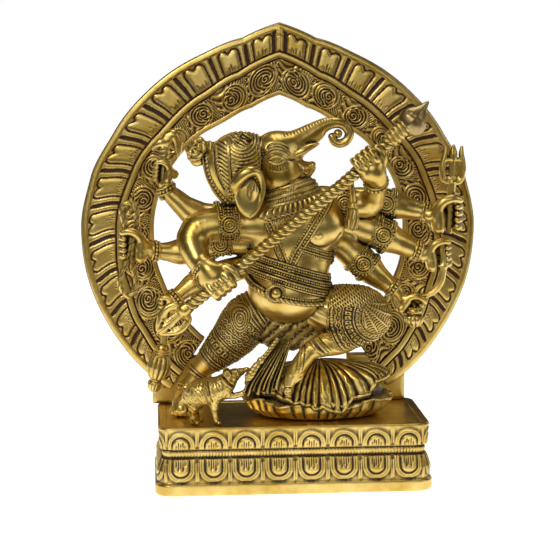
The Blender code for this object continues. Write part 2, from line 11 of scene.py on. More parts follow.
import bpy
import numpy as np
import openvdb
from mathutils import Euler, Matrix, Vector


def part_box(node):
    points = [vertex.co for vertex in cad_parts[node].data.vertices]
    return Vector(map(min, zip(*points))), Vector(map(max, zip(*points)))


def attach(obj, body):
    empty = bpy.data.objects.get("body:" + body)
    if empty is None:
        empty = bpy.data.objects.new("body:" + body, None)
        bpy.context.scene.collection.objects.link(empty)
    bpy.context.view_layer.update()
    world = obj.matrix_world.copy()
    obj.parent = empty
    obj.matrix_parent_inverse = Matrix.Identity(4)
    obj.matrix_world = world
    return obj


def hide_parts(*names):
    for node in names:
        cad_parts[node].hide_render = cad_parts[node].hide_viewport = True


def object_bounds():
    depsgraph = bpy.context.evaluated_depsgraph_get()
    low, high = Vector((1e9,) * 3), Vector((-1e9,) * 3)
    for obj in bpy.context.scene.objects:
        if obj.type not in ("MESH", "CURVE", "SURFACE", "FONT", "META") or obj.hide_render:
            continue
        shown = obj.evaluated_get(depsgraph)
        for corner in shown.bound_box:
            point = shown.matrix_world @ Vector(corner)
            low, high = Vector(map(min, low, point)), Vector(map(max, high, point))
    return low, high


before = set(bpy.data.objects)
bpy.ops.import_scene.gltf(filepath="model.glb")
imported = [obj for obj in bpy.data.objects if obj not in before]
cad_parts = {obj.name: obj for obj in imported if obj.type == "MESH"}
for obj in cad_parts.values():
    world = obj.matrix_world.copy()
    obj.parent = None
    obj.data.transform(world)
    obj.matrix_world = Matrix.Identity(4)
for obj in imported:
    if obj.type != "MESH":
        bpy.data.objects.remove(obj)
CAD_BOX = [list(corner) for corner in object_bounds()]
MM = 0.001
WAVE = 6.283                    # one turn, for marks that repeat along a length


# ---------------------------------------------------------------- numbers and noise

def smooth(t):
    """An even step from 0 to 1."""
    t = np.clip(t, 0.0, 1.0)
    return t * t * (3.0 - 2.0 * t)


def bell(distance, width):
    """1 on a line, falling smoothly to nothing about two widths away."""
    return np.exp(-(distance / width) ** 2)


def unit(vectors):
    """Vectors scaled to length 1."""
    length = np.linalg.norm(vectors, axis=-1, keepdims=True)
    return vectors / np.maximum(length, 1e-9)


def lattice(i, j, k):
    """A fixed value from 0 to 1 for every whole-number place."""
    value = np.sin(i * 127.1 + j * 311.7 + k * 74.7) * 43758.5453
    return value - np.floor(value)


def grain(x, y, z=0.0, size=1.0):
    """Smooth value noise from -1 to 1 with bumps about `size` apart."""
    x, y, z = np.broadcast_arrays(x / size, y / size, z / size)
    i, j, k = np.floor(x), np.floor(y), np.floor(z)
    u, v, w = smooth(x - i), smooth(y - j), smooth(z - k)
    total = 0.0
    for di in (0, 1):
        for dj in (0, 1):
            for dk in (0, 1):
                weight = ((u if di else 1 - u) * (v if dj else 1 - v) * (w if dk else 1 - w))
                total = total + weight * lattice(i + di, j + dj, k + dk)
    return 2.0 * total - 1.0


def blurred(field, reach, wrap):
    """Box blur of a height grid along both of its directions."""
    for axis in (0, 1):
        total = np.zeros_like(field)
        for step in range(-reach, reach + 1):
            shifted = np.roll(field, step, axis=axis)
            if not wrap[axis] and step:
                edge = [slice(None)] * 2
                edge[axis] = slice(0, step) if step > 0 else slice(step, None)
                shifted[tuple(edge)] = field[tuple(edge)]
            total += shifted
        field = total / (2 * reach + 1)
    return field


def cavity(height, reach=4, wrap=(False, False), depth=0.55):
    """How far each point of a height grid lies below its surroundings, from 0 to 1."""
    return np.clip((blurred(height, reach, wrap) - height) / depth, 0.0, 1.0)


# ---------------------------------------------------------------- meshes

def grid_faces(rows, columns, wrap_rows=False, wrap_columns=False):
    """Quads over a grid of points numbered row by row."""
    number = np.arange(rows * columns).reshape(rows, columns)
    if wrap_rows:
        number = np.vstack([number, number[:1]])
    if wrap_columns:
        number = np.hstack([number, number[:, :1]])
    return np.stack([number[:-1, :-1], number[1:, :-1], number[1:, 1:], number[:-1, 1:]],
                    axis=-1).reshape(-1, 4)


CAST = []


class Shape:
    """Points, faces and per-point patina with painted shade gathered from several closed forms into one
    piece.
    """

    def __init__(self):
        self.points, self.faces, self.dirt, self.count = [], [], [], 0

    def add(self, points, faces, dirt=0.0):
        points = np.asarray(points, np.float64).reshape(-1, 3)
        if enclosed(points, faces) < 0:
            faces = [np.asarray(f)[:, ::-1] for f in faces]
        self.points.append(points)
        self.dirt.append(np.broadcast_to(np.asarray(dirt, np.float64).ravel(), (len(points),))
                         if np.size(dirt) == 1 else np.asarray(dirt, np.float64).ravel())
        self.faces += [np.asarray(f) + self.count for f in faces]
        self.count += len(points)

    def loops(self, rings, dirt=0.0, closed=False):
        """A skin over a stack of closed rings, capped at both ends unless it closes on itself."""
        rows, columns = rings.shape[:2]
        faces = [grid_faces(rows, columns, wrap_rows=closed, wrap_columns=True)]
        if not closed:
            faces += [np.arange(columns)[None, :],
                      (np.arange(columns)[::-1] + (rows - 1) * columns)[None, :]]
        self.add(rings, faces, dirt)

    def piece(self, name, slot, node=None, body="statue"):
        """Make the object, put it on its body and let it stand for a CAD node."""
        points = np.concatenate(self.points)
        corners = np.concatenate([f.ravel() for f in self.faces])
        sizes = np.concatenate([np.full(len(f), f.shape[1]) for f in self.faces])
        mesh = bpy.data.meshes.new(name)
        mesh.vertices.add(len(points))
        mesh.vertices.foreach_set("co", (points * MM).astype(np.float32).ravel())
        mesh.loops.add(len(corners))
        mesh.loops.foreach_set("vertex_index", corners.astype(np.int32))
        mesh.polygons.add(len(sizes))
        mesh.polygons.foreach_set("loop_start",
                                  np.concatenate([[0], np.cumsum(sizes)[:-1]]).astype(np.int32))
        mesh.update(calc_edges=True)
        mesh.shade_smooth()
        # Per-point darkening: patina in the recesses, and at the end painted ambient-occlusion shade on top.
        layer = mesh.attributes.new("dirt", "FLOAT", "POINT")
        layer.data.foreach_set("value", np.concatenate(self.dirt).astype(np.float32))
        mesh.materials.append(LOOKS[slot])
        obj = bpy.data.objects.new(name, mesh)
        bpy.context.scene.collection.objects.link(obj)
        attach(obj, body)
        if node:
            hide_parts(*([node] if isinstance(node, str) else node))
        CAST.append((mesh, points, np.concatenate(self.dirt)))
        return obj


def settle_patina_and_shade():
    """Darken each point by how much metal stands close above it, over every piece together: painted
    ambient-occlusion shade added on top of the patina.
    """
    cell, margin = 1.0, 12.0
    everything = np.concatenate([points for _, points, _ in CAST])
    low = everything.min(axis=0) - margin
    size = np.ceil((everything.max(axis=0) + margin - low) / cell).astype(int)
    filled = np.zeros(size, bool)
    filled[tuple(((everything - low) / cell).astype(int).T)] = True
    steep = math.cos(math.radians(55)), math.sin(math.radians(55))
    for mesh, points, dirt in CAST:
        normals = np.empty(3 * len(points), np.float32)
        mesh.vertex_normals.foreach_get("vector", normals)
        normals = normals.reshape(-1, 3).astype(float)
        side = unit(np.cross(normals, (0.31, 0.52, 0.80)))
        up = np.cross(normals, side)
        hidden = np.zeros(len(points))
        for reach, weight in ((1.5, 0.32), (3.2, 0.38), (6.4, 0.30)):
            for a, b, c in ((1, 0, 0), (steep[0], steep[1], 0), (steep[0], -steep[1], 0),
                            (steep[0], 0, steep[1]), (steep[0], 0, -steep[1])):
                probe = points - low + normals * (1.1 + a * reach) + (side * b + up * c) * reach
                hidden += 0.2 * weight * filled[tuple((probe / cell).astype(int).T)]
        # Painted shade: the occlusion found above is added to the patina already on each point.
        patina_and_shade_level = np.clip(dirt + 1.4 * smooth((hidden - 0.05) / 0.45), 0, 1)
        mesh.attributes["dirt"].data.foreach_set("value", patina_and_shade_level.astype(np.float32))


def enclosed(points, faces):
    """Six times the volume inside closed faces, negative if they face inwards."""
    total = 0.0
    for face in faces:
        corners = points[np.asarray(face)]
        for k in range(1, corners.shape[1] - 1):
            total += np.einsum("ij,ij->", corners[:, 0], np.cross(corners[:, k], corners[:, k + 1]))
    return total


# ---------------------------------------------------------------- sculpting

FAR = 15.0


def smooth_min(a, b, blend):
    """The smaller of two distances, with a fillet where they meet."""
    if blend <= 0:
        return np.minimum(a, b)
    share = np.clip(0.5 + 0.5 * (b - a) / blend, 0, 1)
    return b + (a - b) * share - blend * share * (1 - share)


def curve(points, step=2.5, closed=False):
    """A smooth curve through points of any width, sampled about every `step` mm."""
    knots = np.array(points, float)
    if closed:
        knots = np.vstack([knots[-1:], knots, knots[:2]])
    else:
        knots = np.vstack([2 * knots[0] - knots[1], knots, 2 * knots[-1] - knots[-2]])
    samples = []
    for a, b, c, d in zip(knots, knots[1:], knots[2:], knots[3:]):
        count = max(2, int(math.ceil(np.linalg.norm((c - b)[:3]) / step)))
        t = np.arange(count)[:, None] / count
        samples.append(0.5 * (2 * b + (c - a) * t + (2 * a - 5 * b + 4 * c - d) * t ** 2
                              + (3 * b - a - 3 * c + d) * t ** 3))
    if not closed:
        samples.append(knots[-2][None, :])
    return np.concatenate(samples)


class Clay:
    """A signed distance field on a fine grid, into which forms are pressed and carved."""

    def __init__(self, low, high, cell=0.6):
        self.low, self.cell = np.array(low, float), cell
        self.size = np.array([int((h - l) / cell) + 2 for l, h in zip(low, high)])
        self.field = np.full(self.size, FAR, np.float32)

    def window(self, low, high, blend=0.0):
        """The part of the grid that a form can change, and its coordinates."""
        margin = max(4.6, blend + 1.0)
        first = np.maximum(np.floor((np.array(low) - margin - self.low) / self.cell), 0).astype(int)
        last = np.minimum(np.ceil((np.array(high) + margin - self.low) / self.cell) + 1,
                          self.size).astype(int)
        if (last <= first).any():
            return None, None
        axes = [(self.low[k] + self.cell * np.arange(first[k], last[k])).astype(np.float32)
                for k in range(3)]
        return (tuple(slice(a, b) for a, b in zip(first, last)),
                (axes[0][:, None, None], axes[1][None, :, None], axes[2][None, None, :]))

    def merge(self, where, distance, blend, carve):
        old = self.field[where]
        distance = np.minimum(distance, FAR).astype(np.float32)
        self.field[where] = (-smooth_min(-old, distance, blend) if carve
                             else smooth_min(old, distance, blend))

    def ball(self, centre, radii, blend=3.0, turn=(0, 0, 0), carve=False):
        """An ellipsoid, turned by angles about X, Y and Z."""
        radii = np.broadcast_to(np.array(radii, float), 3)
        where, grid = self.window(np.array(centre) - radii.max(), np.array(centre) + radii.max(),
                                  blend)
        if where is None:
            return self
        matrix = Euler([math.radians(a) for a in turn]).to_matrix()
        offset = [grid[k] - centre[k] for k in range(3)]
        near = far = 0.0
        for k in range(3):
            local = sum(matrix[j][k] * offset[j] for j in range(3))
            near = near + (local / radii[k]) ** 2
            far = far + (local / radii[k] ** 2) ** 2
        near, far = np.sqrt(near), np.sqrt(far)
        self.merge(where, near * (near - 1) / np.maximum(far, 1e-6), blend, carve)
        return self

    def limb(self, stations, blend=3.0, carve=False, step=2.5, thin=0.0):
        """A rounded limb along stations of place and radius."""
        path = curve(stations, step)
        path[:, 3] -= thin
        reach = path[:, 3].max()
        where, grid = self.window(path[:, :3].min(0) - reach, path[:, :3].max(0) + reach, blend)
        if where is None:
            return self
        made = np.full(self.field[where].shape, FAR, np.float32)
        start = [w.start for w in where]
        for a, b in zip(path, path[1:]):
            part, axes = self.window(np.minimum(a[:3], b[:3]) - max(a[3], b[3]),
                                     np.maximum(a[:3], b[:3]) + max(a[3], b[3]), blend)
            if part is None:
                continue
            part = tuple(slice(max(p.start, w.start) - s, min(p.stop, w.stop) - s)
                         for p, w, s in zip(part, where, start))
            axes = [np.take(grid[k], np.arange(part[k].start, part[k].stop), axis=k)
                    for k in range(3)]
            line = b[:3] - a[:3]
            t = sum((axes[k] - a[k]) * line[k] for k in range(3)) / max(line @ line, 1e-9)
            t = np.clip(t, 0, 1)
            distance = np.sqrt(sum((axes[k] - a[k] - t * line[k]) ** 2 for k in range(3)))
            distance -= a[3] + t * (b[3] - a[3])
            made[part] = np.minimum(made[part], distance)
        self.merge(where, made, blend, carve)
        return self

    def read(self, points):
        """The field at any points, between its cells."""
        place = np.clip((points - self.low) / self.cell, 0, self.size - 1.001)
        base = place.astype(int)
        t = place - base
        total = 0.0
        for i in (0, 1):
            for j in (0, 1):
                for k in (0, 1):
                    weight = ((t[..., 0] if i else 1 - t[..., 0]) * (t[..., 1] if j else 1 - t[..., 1])
                              * (t[..., 2] if k else 1 - t[..., 2]))
                    total = total + weight * self.field[base[..., 0] + i, base[..., 1] + j,
                                                        base[..., 2] + k]
        return total

    def normals(self, points):
        h = self.cell * 0.8
        slope = [self.read(points + np.eye(3)[k] * h) - self.read(points - np.eye(3)[k] * h)
                 for k in range(3)]
        return unit(np.stack(slope, axis=-1))

    def front(self, path, start=-75.0, stop=20.0):
        """Where lines running back from the front at each (x, z) meet the surface."""
        depth = np.arange(start, stop, self.cell * 0.7)
        path = np.array(path, float)
        grid = np.stack(np.broadcast_arrays(path[:, :1], depth[None, :], path[:, 1:]), axis=-1)
        inside = self.read(grid) < 0
        first, struck = np.argmax(inside, axis=1), np.flatnonzero(inside.any(axis=1))
        order = np.arange(len(path))
        return np.stack([path[:, 0], np.interp(order, struck, depth[first[struck]]), path[:, 1]],
                        axis=-1)

    def ring(self, centre, axis, reach, count=180, begin=1.0):
        """The closed line where a plane through `centre` cuts the surface."""
        axis = unit(np.array(axis, float))
        side = unit(np.cross(axis, (0.0, 1.0, 0.0)))
        ahead = np.cross(side, axis)
        turn = np.linspace(0, 2 * np.pi, count, endpoint=False)
        rays = np.cos(turn)[:, None] * side + np.sin(turn)[:, None] * ahead
        depth = np.arange(begin, reach, self.cell * 0.7)
        grid = np.array(centre) + rays[:, None, :] * depth[None, :, None]
        outside = self.read(grid) > 0
        first, struck = np.argmax(outside, axis=1), np.flatnonzero(outside.any(axis=1))
        found = np.interp(np.arange(count), struck, depth[first[struck]], period=count)
        return np.array(centre) + rays * found[:, None]

    def skin(self, relief=None):
        """Turn the field into a closed mesh: points, faces and patina with painted shade, with relief on its
        skin.
        """
        grid = openvdb.FloatGrid(FAR)
        grid.copyFromArray(self.field)
        points, quads = grid.convertToQuads()
        points = points.astype(float) * self.cell + self.low
        quads = quads.astype(np.int64)
        normals = self.normals(points)
        height = np.zeros(len(points)) if relief is None else relief(points, normals)
        # shelter is ambient occlusion from the piece's own field, used below as painted shade.
        shelter = 0.0
        for reach in (1.6, 3.6):
            shelter = shelter + 0.5 * np.clip(1.0 - self.read(points + normals * reach) / reach, 0, 1)
        mean = height
        for _ in range(4):
            mean = around(mean, quads)
        # Patina below the relief, plus painted shade where the form shelters the point.
        dirt = np.clip((mean - height) / 0.28, 0, 1) + 0.9 * np.clip(shelter - 0.16, 0, 1)
        return points + normals * height[:, None], [quads], np.clip(dirt, 0, 1)


def around(values, quads):
    """Each point's mean over the faces that meet there."""
    face = values[quads].mean(axis=1)
    count = np.bincount(quads.ravel(), minlength=len(values))
    return np.bincount(quads.ravel(), np.repeat(face, 4), minlength=len(values)) / np.maximum(count, 1)


def line_distance(points, path):
    """Distance from 2D or 3D points to an open line, up to a reach that callers mask by."""
    best = np.full(len(points), 1e9)
    for a, b in zip(path, path[1:]):
        line = b - a
        t = np.clip((points - a) @ line / max(line @ line, 1e-9), 0, 1)
        best = np.minimum(best, ((points - a - t[:, None] * line) ** 2).sum(axis=1))
    return np.sqrt(best)


def strokes(points, normals, lines, facing=(0, -1, 0), limit=0.12):
    """Relief from lines drawn as seen from one side: each is (points (x, z), width, height)."""
    height = np.zeros(len(points))
    flat = points[:, (0, 2)]
    turned = normals @ np.array(facing, float)
    ahead = turned > limit
    for path, width, raised in lines:
        path = curve(np.array(path, float), 1.2)[:, :2]
        low, high = path.min(0) - 3 * width, path.max(0) + 3 * width
        near = np.flatnonzero(ahead & ((flat > low) & (flat < high)).all(axis=1))
        if not len(near):
            continue
        mark = raised * bell(line_distance(flat[near], path), width)
        mark *= smooth((turned[near] - limit) / 0.25)
        height[near] = np.where(raised > 0, np.maximum(height[near], mark),
                                height[near] + mark)
    return height


def chart(points, stations, step=2.0):
    """Where points lie along and around a limb: length in mm and angle from the front."""
    path = curve(stations, step)
    length = np.concatenate([[0], np.cumsum(np.linalg.norm(np.diff(path[:, :3], axis=0), axis=1))])
    best, along = np.full(len(points), 1e9), np.zeros(len(points))
    centre, heading = np.zeros((len(points), 3)), np.zeros((len(points), 3))
    for i, (a, b) in enumerate(zip(path[:, :3], path[1:, :3])):
        line = b - a
        t = np.clip((points - a) @ line / (line @ line), 0, 1)
        foot = a + t[:, None] * line
        distance = ((points - foot) ** 2).sum(axis=1)
        nearer = distance < best
        best[nearer] = distance[nearer]
        along[nearer] = length[i] + t[nearer] * np.linalg.norm(line)
        centre[nearer], heading[nearer] = foot[nearer], unit(line)
    arm = points - centre
    arm -= (arm * heading).sum(axis=1, keepdims=True) * heading
    side = unit(np.cross(heading, np.array([0.0, -1.0, 0.0])))
    ahead = np.cross(side, heading)
    return along, np.arctan2((arm * side).sum(axis=1), (arm * ahead).sum(axis=1))


def frames(path, closed=False):
    """Two directions across a path at each of its points, turning with it."""
    path = np.array(path, float)
    if closed:
        ahead = unit(np.roll(path, -1, axis=0) - np.roll(path, 1, axis=0))
    else:
        ahead = unit(np.gradient(path, axis=0))
    side = np.cross(ahead[0], (0.0, -1.0, 0.0))
    if np.linalg.norm(side) < 0.2:
        side = np.cross(ahead[0], (1.0, 0.0, 0.0))
    sides = [side / np.linalg.norm(side)]
    for heading in ahead[1:]:
        side = sides[-1] - heading * (sides[-1] @ heading)
        sides.append(side / np.linalg.norm(side))
    sides = np.array(sides)
    return ahead, sides, np.cross(ahead, sides)


def spaced(path, pitch, closed=False):
    """Points an even distance apart along a path."""
    path = np.array(path, float)
    if closed:
        path = np.vstack([path, path[:1]])
    length = np.concatenate([[0], np.cumsum(np.linalg.norm(np.diff(path, axis=0), axis=1))])
    count = max(3, int(round(length[-1] / pitch)))
    where = np.linspace(0, length[-1], count, endpoint=not closed)
    return np.stack([np.interp(where, length, path[:, k]) for k in range(path.shape[1])], axis=-1)


def rope(shape, path, radius, closed=False, sides=10, twist=0.0, depth=0.0, strands=2, step=0.6,
         dirt=0.0):
    """A round or twisted cord along a path, whose radius may change along it."""
    path = np.array(path, float)
    if path.shape[1] == 3:
        path = np.hstack([path, np.full((len(path), 1), float(radius))])
    path = spaced(path, step, closed)
    _, side, up = frames(path[:, :3], closed)
    turn = np.linspace(0, 2 * np.pi, sides, endpoint=False)[None, :]
    along = (np.arange(len(path)) * step)[:, None]
    pitch = round(len(path) * step / twist) * 2 * np.pi / (len(path) * step) if twist else 0.0
    wave = np.abs(np.sin(0.5 * strands * turn - 0.5 * pitch * along)) if twist else 0.0
    width = path[:, 3:4] + depth * (wave - 1.0) + 0.0 * turn
    rings = (path[:, None, :3] + width[..., None] * (np.cos(turn)[..., None] * side[:, None, :]
                                                     + np.sin(turn)[..., None] * up[:, None, :]))
    patina_and_shade_level = dirt + (0.9 * (1 - smooth(wave * 1.8)) if twist else 0.0) + 0.0 * turn + 0.0 * along
    shape.loops(rings, np.clip(patina_and_shade_level, 0, 1), closed)


def bead_form(rows=5, columns=8):
    """Points and faces of one small sphere of radius 1."""
    turn = np.arange(columns) * 2 * np.pi / columns
    tilt = np.pi * np.arange(1, rows) / rows
    middle = np.stack([np.sin(tilt)[:, None] * np.cos(turn), np.sin(tilt)[:, None] * np.sin(turn),
                       np.cos(tilt)[:, None] + 0 * turn], axis=-1).reshape(-1, 3)
    points = np.vstack([middle, [[0, 0, 1.0]], [[0, 0, -1.0]]])
    quads = grid_faces(rows - 1, columns, wrap_columns=True)
    top, bottom, last = len(middle), len(middle) + 1, (rows - 2) * columns
    ring = np.arange(columns)
    tips = np.concatenate([np.stack([np.full(columns, top), ring, np.roll(ring, -1)], axis=-1),
                           np.stack([np.full(columns, bottom), last + np.roll(ring, -1),
                                     last + ring], axis=-1)])
    return points, quads, tips


BEAD_POINTS, BEAD_QUADS, BEAD_TIPS = bead_form()


def beads(shape, centres, radius, dirt=0.05):
    """A small ball at each centre."""
    centres = np.array(centres, float).reshape(-1, 3)
    radius = np.broadcast_to(np.asarray(radius, float), (len(centres),))
    count = len(BEAD_POINTS)
    points = centres[:, None, :] + BEAD_POINTS[None] * radius[:, None, None]
    offset = (np.arange(len(centres)) * count)[:, None, None]
    shape.add(points, [(BEAD_QUADS[None] + offset).reshape(-1, 4),
                       (BEAD_TIPS[None] + offset).reshape(-1, 3)], dirt)


def bead_string(shape, path, radius, closed=False, gap=1.9):
    """Beads in a row on a thin cord."""
    beads(shape, spaced(path, radius * gap, closed), radius)
    rope(shape, path, radius * 0.45, closed, sides=6, dirt=0.8, step=1.2)


def triple_band(shape, path, closed=False, size=1.0):
    """A strand of beads between two plain cords, laid on a surface."""
    path = spaced(path, 1.0, closed)[:, :3]
    ahead = frames(path, closed)[0]
    lift = (path - path.mean(axis=0)) * (1, 1, 0) if closed else (0.0, -1.0, 0.0)
    across = unit(np.cross(ahead, lift))
    for offset in (-1.9, 1.9):
        rope(shape, path + across * offset * size, 0.75 * size, closed, sides=8)
    for offset in (-2.8, -1.1, 1.1, 2.8):
        rope(shape, path + across * offset * size, 0.55 * size, closed, sides=6, dirt=1.0)
    bead_string(shape, path, 1.05 * size, closed)


# ---------------------------------------------------------------- brass

def brass(name, shine, shade, patina, roughness, patina_and_shade_gain=1.0):
    """Cast brass: worn bright skin, cloudy tone, dark patina and painted shade in the recesses, fine casting
    grain.
    """
    material = bpy.data.materials.new(name)
    material.use_nodes = True
    nodes, links = material.node_tree.nodes, material.node_tree.links
    shader = nodes["Principled BSDF"]

    def node(kind, **inputs):
        made = nodes.new(kind)
        for key, value in inputs.items():
            made.inputs[key.replace("_", " ")].default_value = value
        return made

    def ramp(source, stops):
        made = nodes.new("ShaderNodeValToRGB")
        made.color_ramp.elements[0].position, made.color_ramp.elements[0].color = stops[0]
        made.color_ramp.elements[1].position, made.color_ramp.elements[1].color = stops[-1]
        for position, colour in stops[1:-1]:
            made.color_ramp.elements.new(position).color = colour
        links.new(source, made.inputs["Fac"])
        return made.outputs["Color"]

    def math_node(operation, a, b, clamp=False):
        made = nodes.new("ShaderNodeMath")
        made.operation, made.use_clamp = operation, clamp
        for socket, value in zip(made.inputs, (a, b)):
            if isinstance(value, (int, float)):
                socket.default_value = value
            else:
                links.new(value, socket)
        return made.outputs[0]

    def mix(factor, a, b):
        made = nodes.new("ShaderNodeMix")
        made.data_type = "RGBA"
        links.new(factor, made.inputs["Factor"])
        for socket, value in zip((made.inputs["A"], made.inputs["B"]), (a, b)):
            if isinstance(value, tuple):
                socket.default_value = (*value, 1)
            else:
                links.new(value, socket)
        return made.outputs["Result"]

    place = nodes.new("ShaderNodeTexCoord").outputs["Object"]
    cloud = node("ShaderNodeTexNoise", Scale=45.0, Detail=5.0, Roughness=0.6)
    speck = node("ShaderNodeTexNoise", Scale=900.0, Detail=3.0, Roughness=0.7)
    scuff = node("ShaderNodeTexNoise", Scale=260.0, Detail=4.0, Roughness=0.65)
    for texture in (cloud, speck, scuff):
        links.new(place, texture.inputs["Vector"])
    dirt = nodes.new("ShaderNodeAttribute")
    dirt.attribute_name = "dirt"

    uneven = math_node("MULTIPLY_ADD", scuff.outputs["Fac"], 0.7)
    uneven.node.inputs[2].default_value = 0.55
    # Mask from the per-point value: recess patina together with painted ambient-occlusion shade.
    patina_and_shade_mask = math_node("MULTIPLY", math_node("MULTIPLY", dirt.outputs["Fac"], uneven), patina_and_shade_gain, True)
    grey, white = (0.0, 0.0, 0.0, 1.0), (1.0, 1.0, 1.0, 1.0)
    tone = ramp(cloud.outputs["Fac"], [(0.32, grey), (0.68, white)])
    metal = mix(tone, shade, shine)
    coverage = ramp(patina_and_shade_mask, [(0.05, grey), (0.4, (0.55,) * 3 + (1,)), (0.85, white)])
    rust = mix(scuff.outputs["Fac"], patina, tuple(0.35 * c for c in patina))
    links.new(mix(coverage, metal, rust), shader.inputs["Base Color"])
    metallic = math_node("MULTIPLY_ADD", coverage, -0.45)
    metallic.node.inputs[2].default_value = 1.0
    links.new(metallic, shader.inputs["Metallic"])
    rough = math_node("MULTIPLY_ADD", scuff.outputs["Fac"], 0.16)
    rough.node.inputs[2].default_value = roughness - 0.08
    links.new(math_node("MULTIPLY_ADD", coverage, 0.35), shader.inputs["Roughness"])
    shader.inputs["Roughness"].links[0].from_node.inputs[2].default_value = roughness
    links.new(rough, shader.inputs["Roughness"].links[0].from_node.inputs[2])

    fine = node("ShaderNodeBump", Strength=0.22, Distance=0.0002)
    coarse = node("ShaderNodeBump", Strength=0.16, Distance=0.0008)
    links.new(speck.outputs["Fac"], fine.inputs["Height"])
    links.new(scuff.outputs["Fac"], coarse.inputs["Height"])
    links.new(coarse.outputs["Normal"], fine.inputs["Normal"])
    links.new(fine.outputs["Normal"], shader.inputs["Normal"])
    shader.inputs["Coat Weight"].default_value = 0.3
    shader.inputs["Coat Roughness"].default_value = 0.20
    return material


BRIGHT = (0.90, 0.67, 0.215)
WARM = (0.64, 0.415, 0.07)
RUST = (0.105, 0.036, 0.012)
UMBER = (0.075, 0.040, 0.010)
LOOKS = {
    "pedestal_brass": brass("pedestal_brass", BRIGHT, WARM, UMBER, 0.34, 1.3),
    "aureole_brass": brass("aureole_brass", BRIGHT, WARM, RUST, 0.34, 1.25),
    "figure_brass": brass("figure_brass", BRIGHT, WARM, UMBER, 0.33, 1.2),
    "chased_brass": brass("chased_brass", BRIGHT, WARM, UMBER, 0.36, 1.3),
    "bright_brass": brass("bright_brass", BRIGHT, WARM, UMBER, 0.33, 1.25),
    "blade_brass": brass("blade_brass", (0.52, 0.38, 0.15), (0.30, 0.20, 0.07), UMBER, 0.34),
    "fixing_steel": brass("fixing_steel", (0.55, 0.55, 0.56), (0.40, 0.40, 0.41),
                          (0.12, 0.08, 0.05), 0.38),
}


# ---------------------------------------------------------------- studio

def studio():
    """White floor behind and under the statue, dim surroundings, soft lamps and the camera."""
    floor_size, front_edge = 6.0, -0.32
    bpy.ops.mesh.primitive_plane_add(size=floor_size, location=(0, front_edge + floor_size / 2,
                                                                CAD_BOX[0][2] - 0.0004))
    floor = bpy.context.object
    floor.name = "studio_floor"
    paper = bpy.data.materials.new("pale_paper")
    paper.use_nodes = True
    surface = paper.node_tree.nodes["Principled BSDF"]
    surface.inputs["Base Color"].default_value = (0.55, 0.55, 0.55, 1)
    surface.inputs["Roughness"].default_value = 0.9
    surface.inputs["Emission Color"].default_value = (1.0, 1.0, 1.0, 1)
    surface.inputs["Emission Strength"].default_value = 1.0
    floor.data.materials.append(paper)

    world = bpy.data.worlds.new("studio")
    world.use_nodes = True
    nodes, links = world.node_tree.nodes, world.node_tree.links
    background = nodes["Background"]
    path = nodes.new("ShaderNodeLightPath")
    seen = nodes.new("ShaderNodeMix")
    seen.data_type = "RGBA"
    seen.inputs["A"].default_value = (0.04, 0.035, 0.028, 1)
    seen.inputs["B"].default_value = (1.0, 1.0, 1.0, 1)
    links.new(path.outputs["Is Camera Ray"], seen.inputs["Factor"])
    links.new(seen.outputs["Result"], background.inputs["Color"])
    bpy.context.scene.world = world
    bpy.context.scene.view_settings.view_transform = "Standard"

    def lamp(name, size, power, place, aim=(0.0, 0.0, 0.2), colour=(1.0, 0.99, 0.96)):
        data = bpy.data.lights.new(name, "AREA")
        data.shape, data.size, data.size_y = "RECTANGLE", size[0], size[1]
        data.energy, data.color = power, colour
        lamp_object = bpy.data.objects.new(name, data)
        lamp_object.location = place
        direction = np.array(aim) - np.array(place)
        lamp_object.rotation_euler = (math.atan2(math.hypot(direction[0], direction[1]),
                                                 -direction[2]), 0.0,
                                      math.atan2(direction[0], -direction[1]) + math.pi)
        bpy.context.scene.collection.objects.link(lamp_object)

    lamp("front_panel", (1.9, 1.3), 9.6, (-0.3, -2.3, 0.9))
    lamp("key_softbox", (0.65, 0.65), 10.5, (-0.9, -1.3, 1.5))
    lamp("right_softbox", (0.4, 1.1), 2.6, (1.5, -0.8, 0.8))
    lamp("top_softbox", (0.9, 0.7), 5.0, (0.1, 0.1, 1.7))
    lamp("back_left", (0.6, 0.9), 2.0, (-1.2, 1.2, 0.9))
    lamp("back_right", (0.6, 0.9), 2.0, (1.2, 1.3, 0.8))

    camera = bpy.data.cameras.new("camera")
    camera.sensor_width = 36.0
    camera.lens = 98.61
    eye = bpy.data.objects.new("camera", camera)
    eye.location = (-0.109, -1.2935, 0.368)
    eye.rotation_euler = Euler((math.radians(90 - 8.53), 0.0, math.radians(-4.69)))
    bpy.context.scene.collection.objects.link(eye)
    bpy.context.scene.camera = eye


# ---------------------------------------------------------------- aureole

ARCH_Z = 214.5
ARCH_BACK = 49.0
ARCH_FLOOR = 41.0
FOOT_ANGLE = 146.0
PETAL_ANGLE = 11.5
SCROLL_ANGLE = 13.8
OUTER_RAIL = ((0, 177.0), (11, 167.0), (25, 164.3), (42, 164.5), (60, 165.8),
              (75, 170.0), (90, 173.0), (105, 173.5), (120, 173.0), (138, 174.0), (146, 174.0))
RIDGE_RAIL = ((0, 149.5), (15, 136.5), (30, 131.8), (48, 130.5), (68, 134.8),
              (90, 139.5), (110, 144.0), (125, 149.5), (138, 154.0), (146, 156.0))
INNER_RAIL = ((0, 115.0), (13, 106.5), (28, 103.5), (48, 106.5), (70, 108.5),
              (90, 109.8), (112, 112.0), (128, 114.5), (138, 117.0), (146, 118.5))
RIDGE_HALF = 3.0


def rail(stations, angles):
    """A rail's radius at each angle from the apex, eased between its stations as in the casting."""
    size = np.abs(angles)
    radius = np.zeros_like(size)
    for (a0, r0), (a1, r1) in zip(stations, stations[1:]):
        inside = (size >= a0) & (size <= a1)
        t = (size[inside] - a0) / (a1 - a0)
        if a0 > 0:
            t = t * t * (3 - 2 * t)
        radius[inside] = r0 + (r1 - r0) * t
    return radius


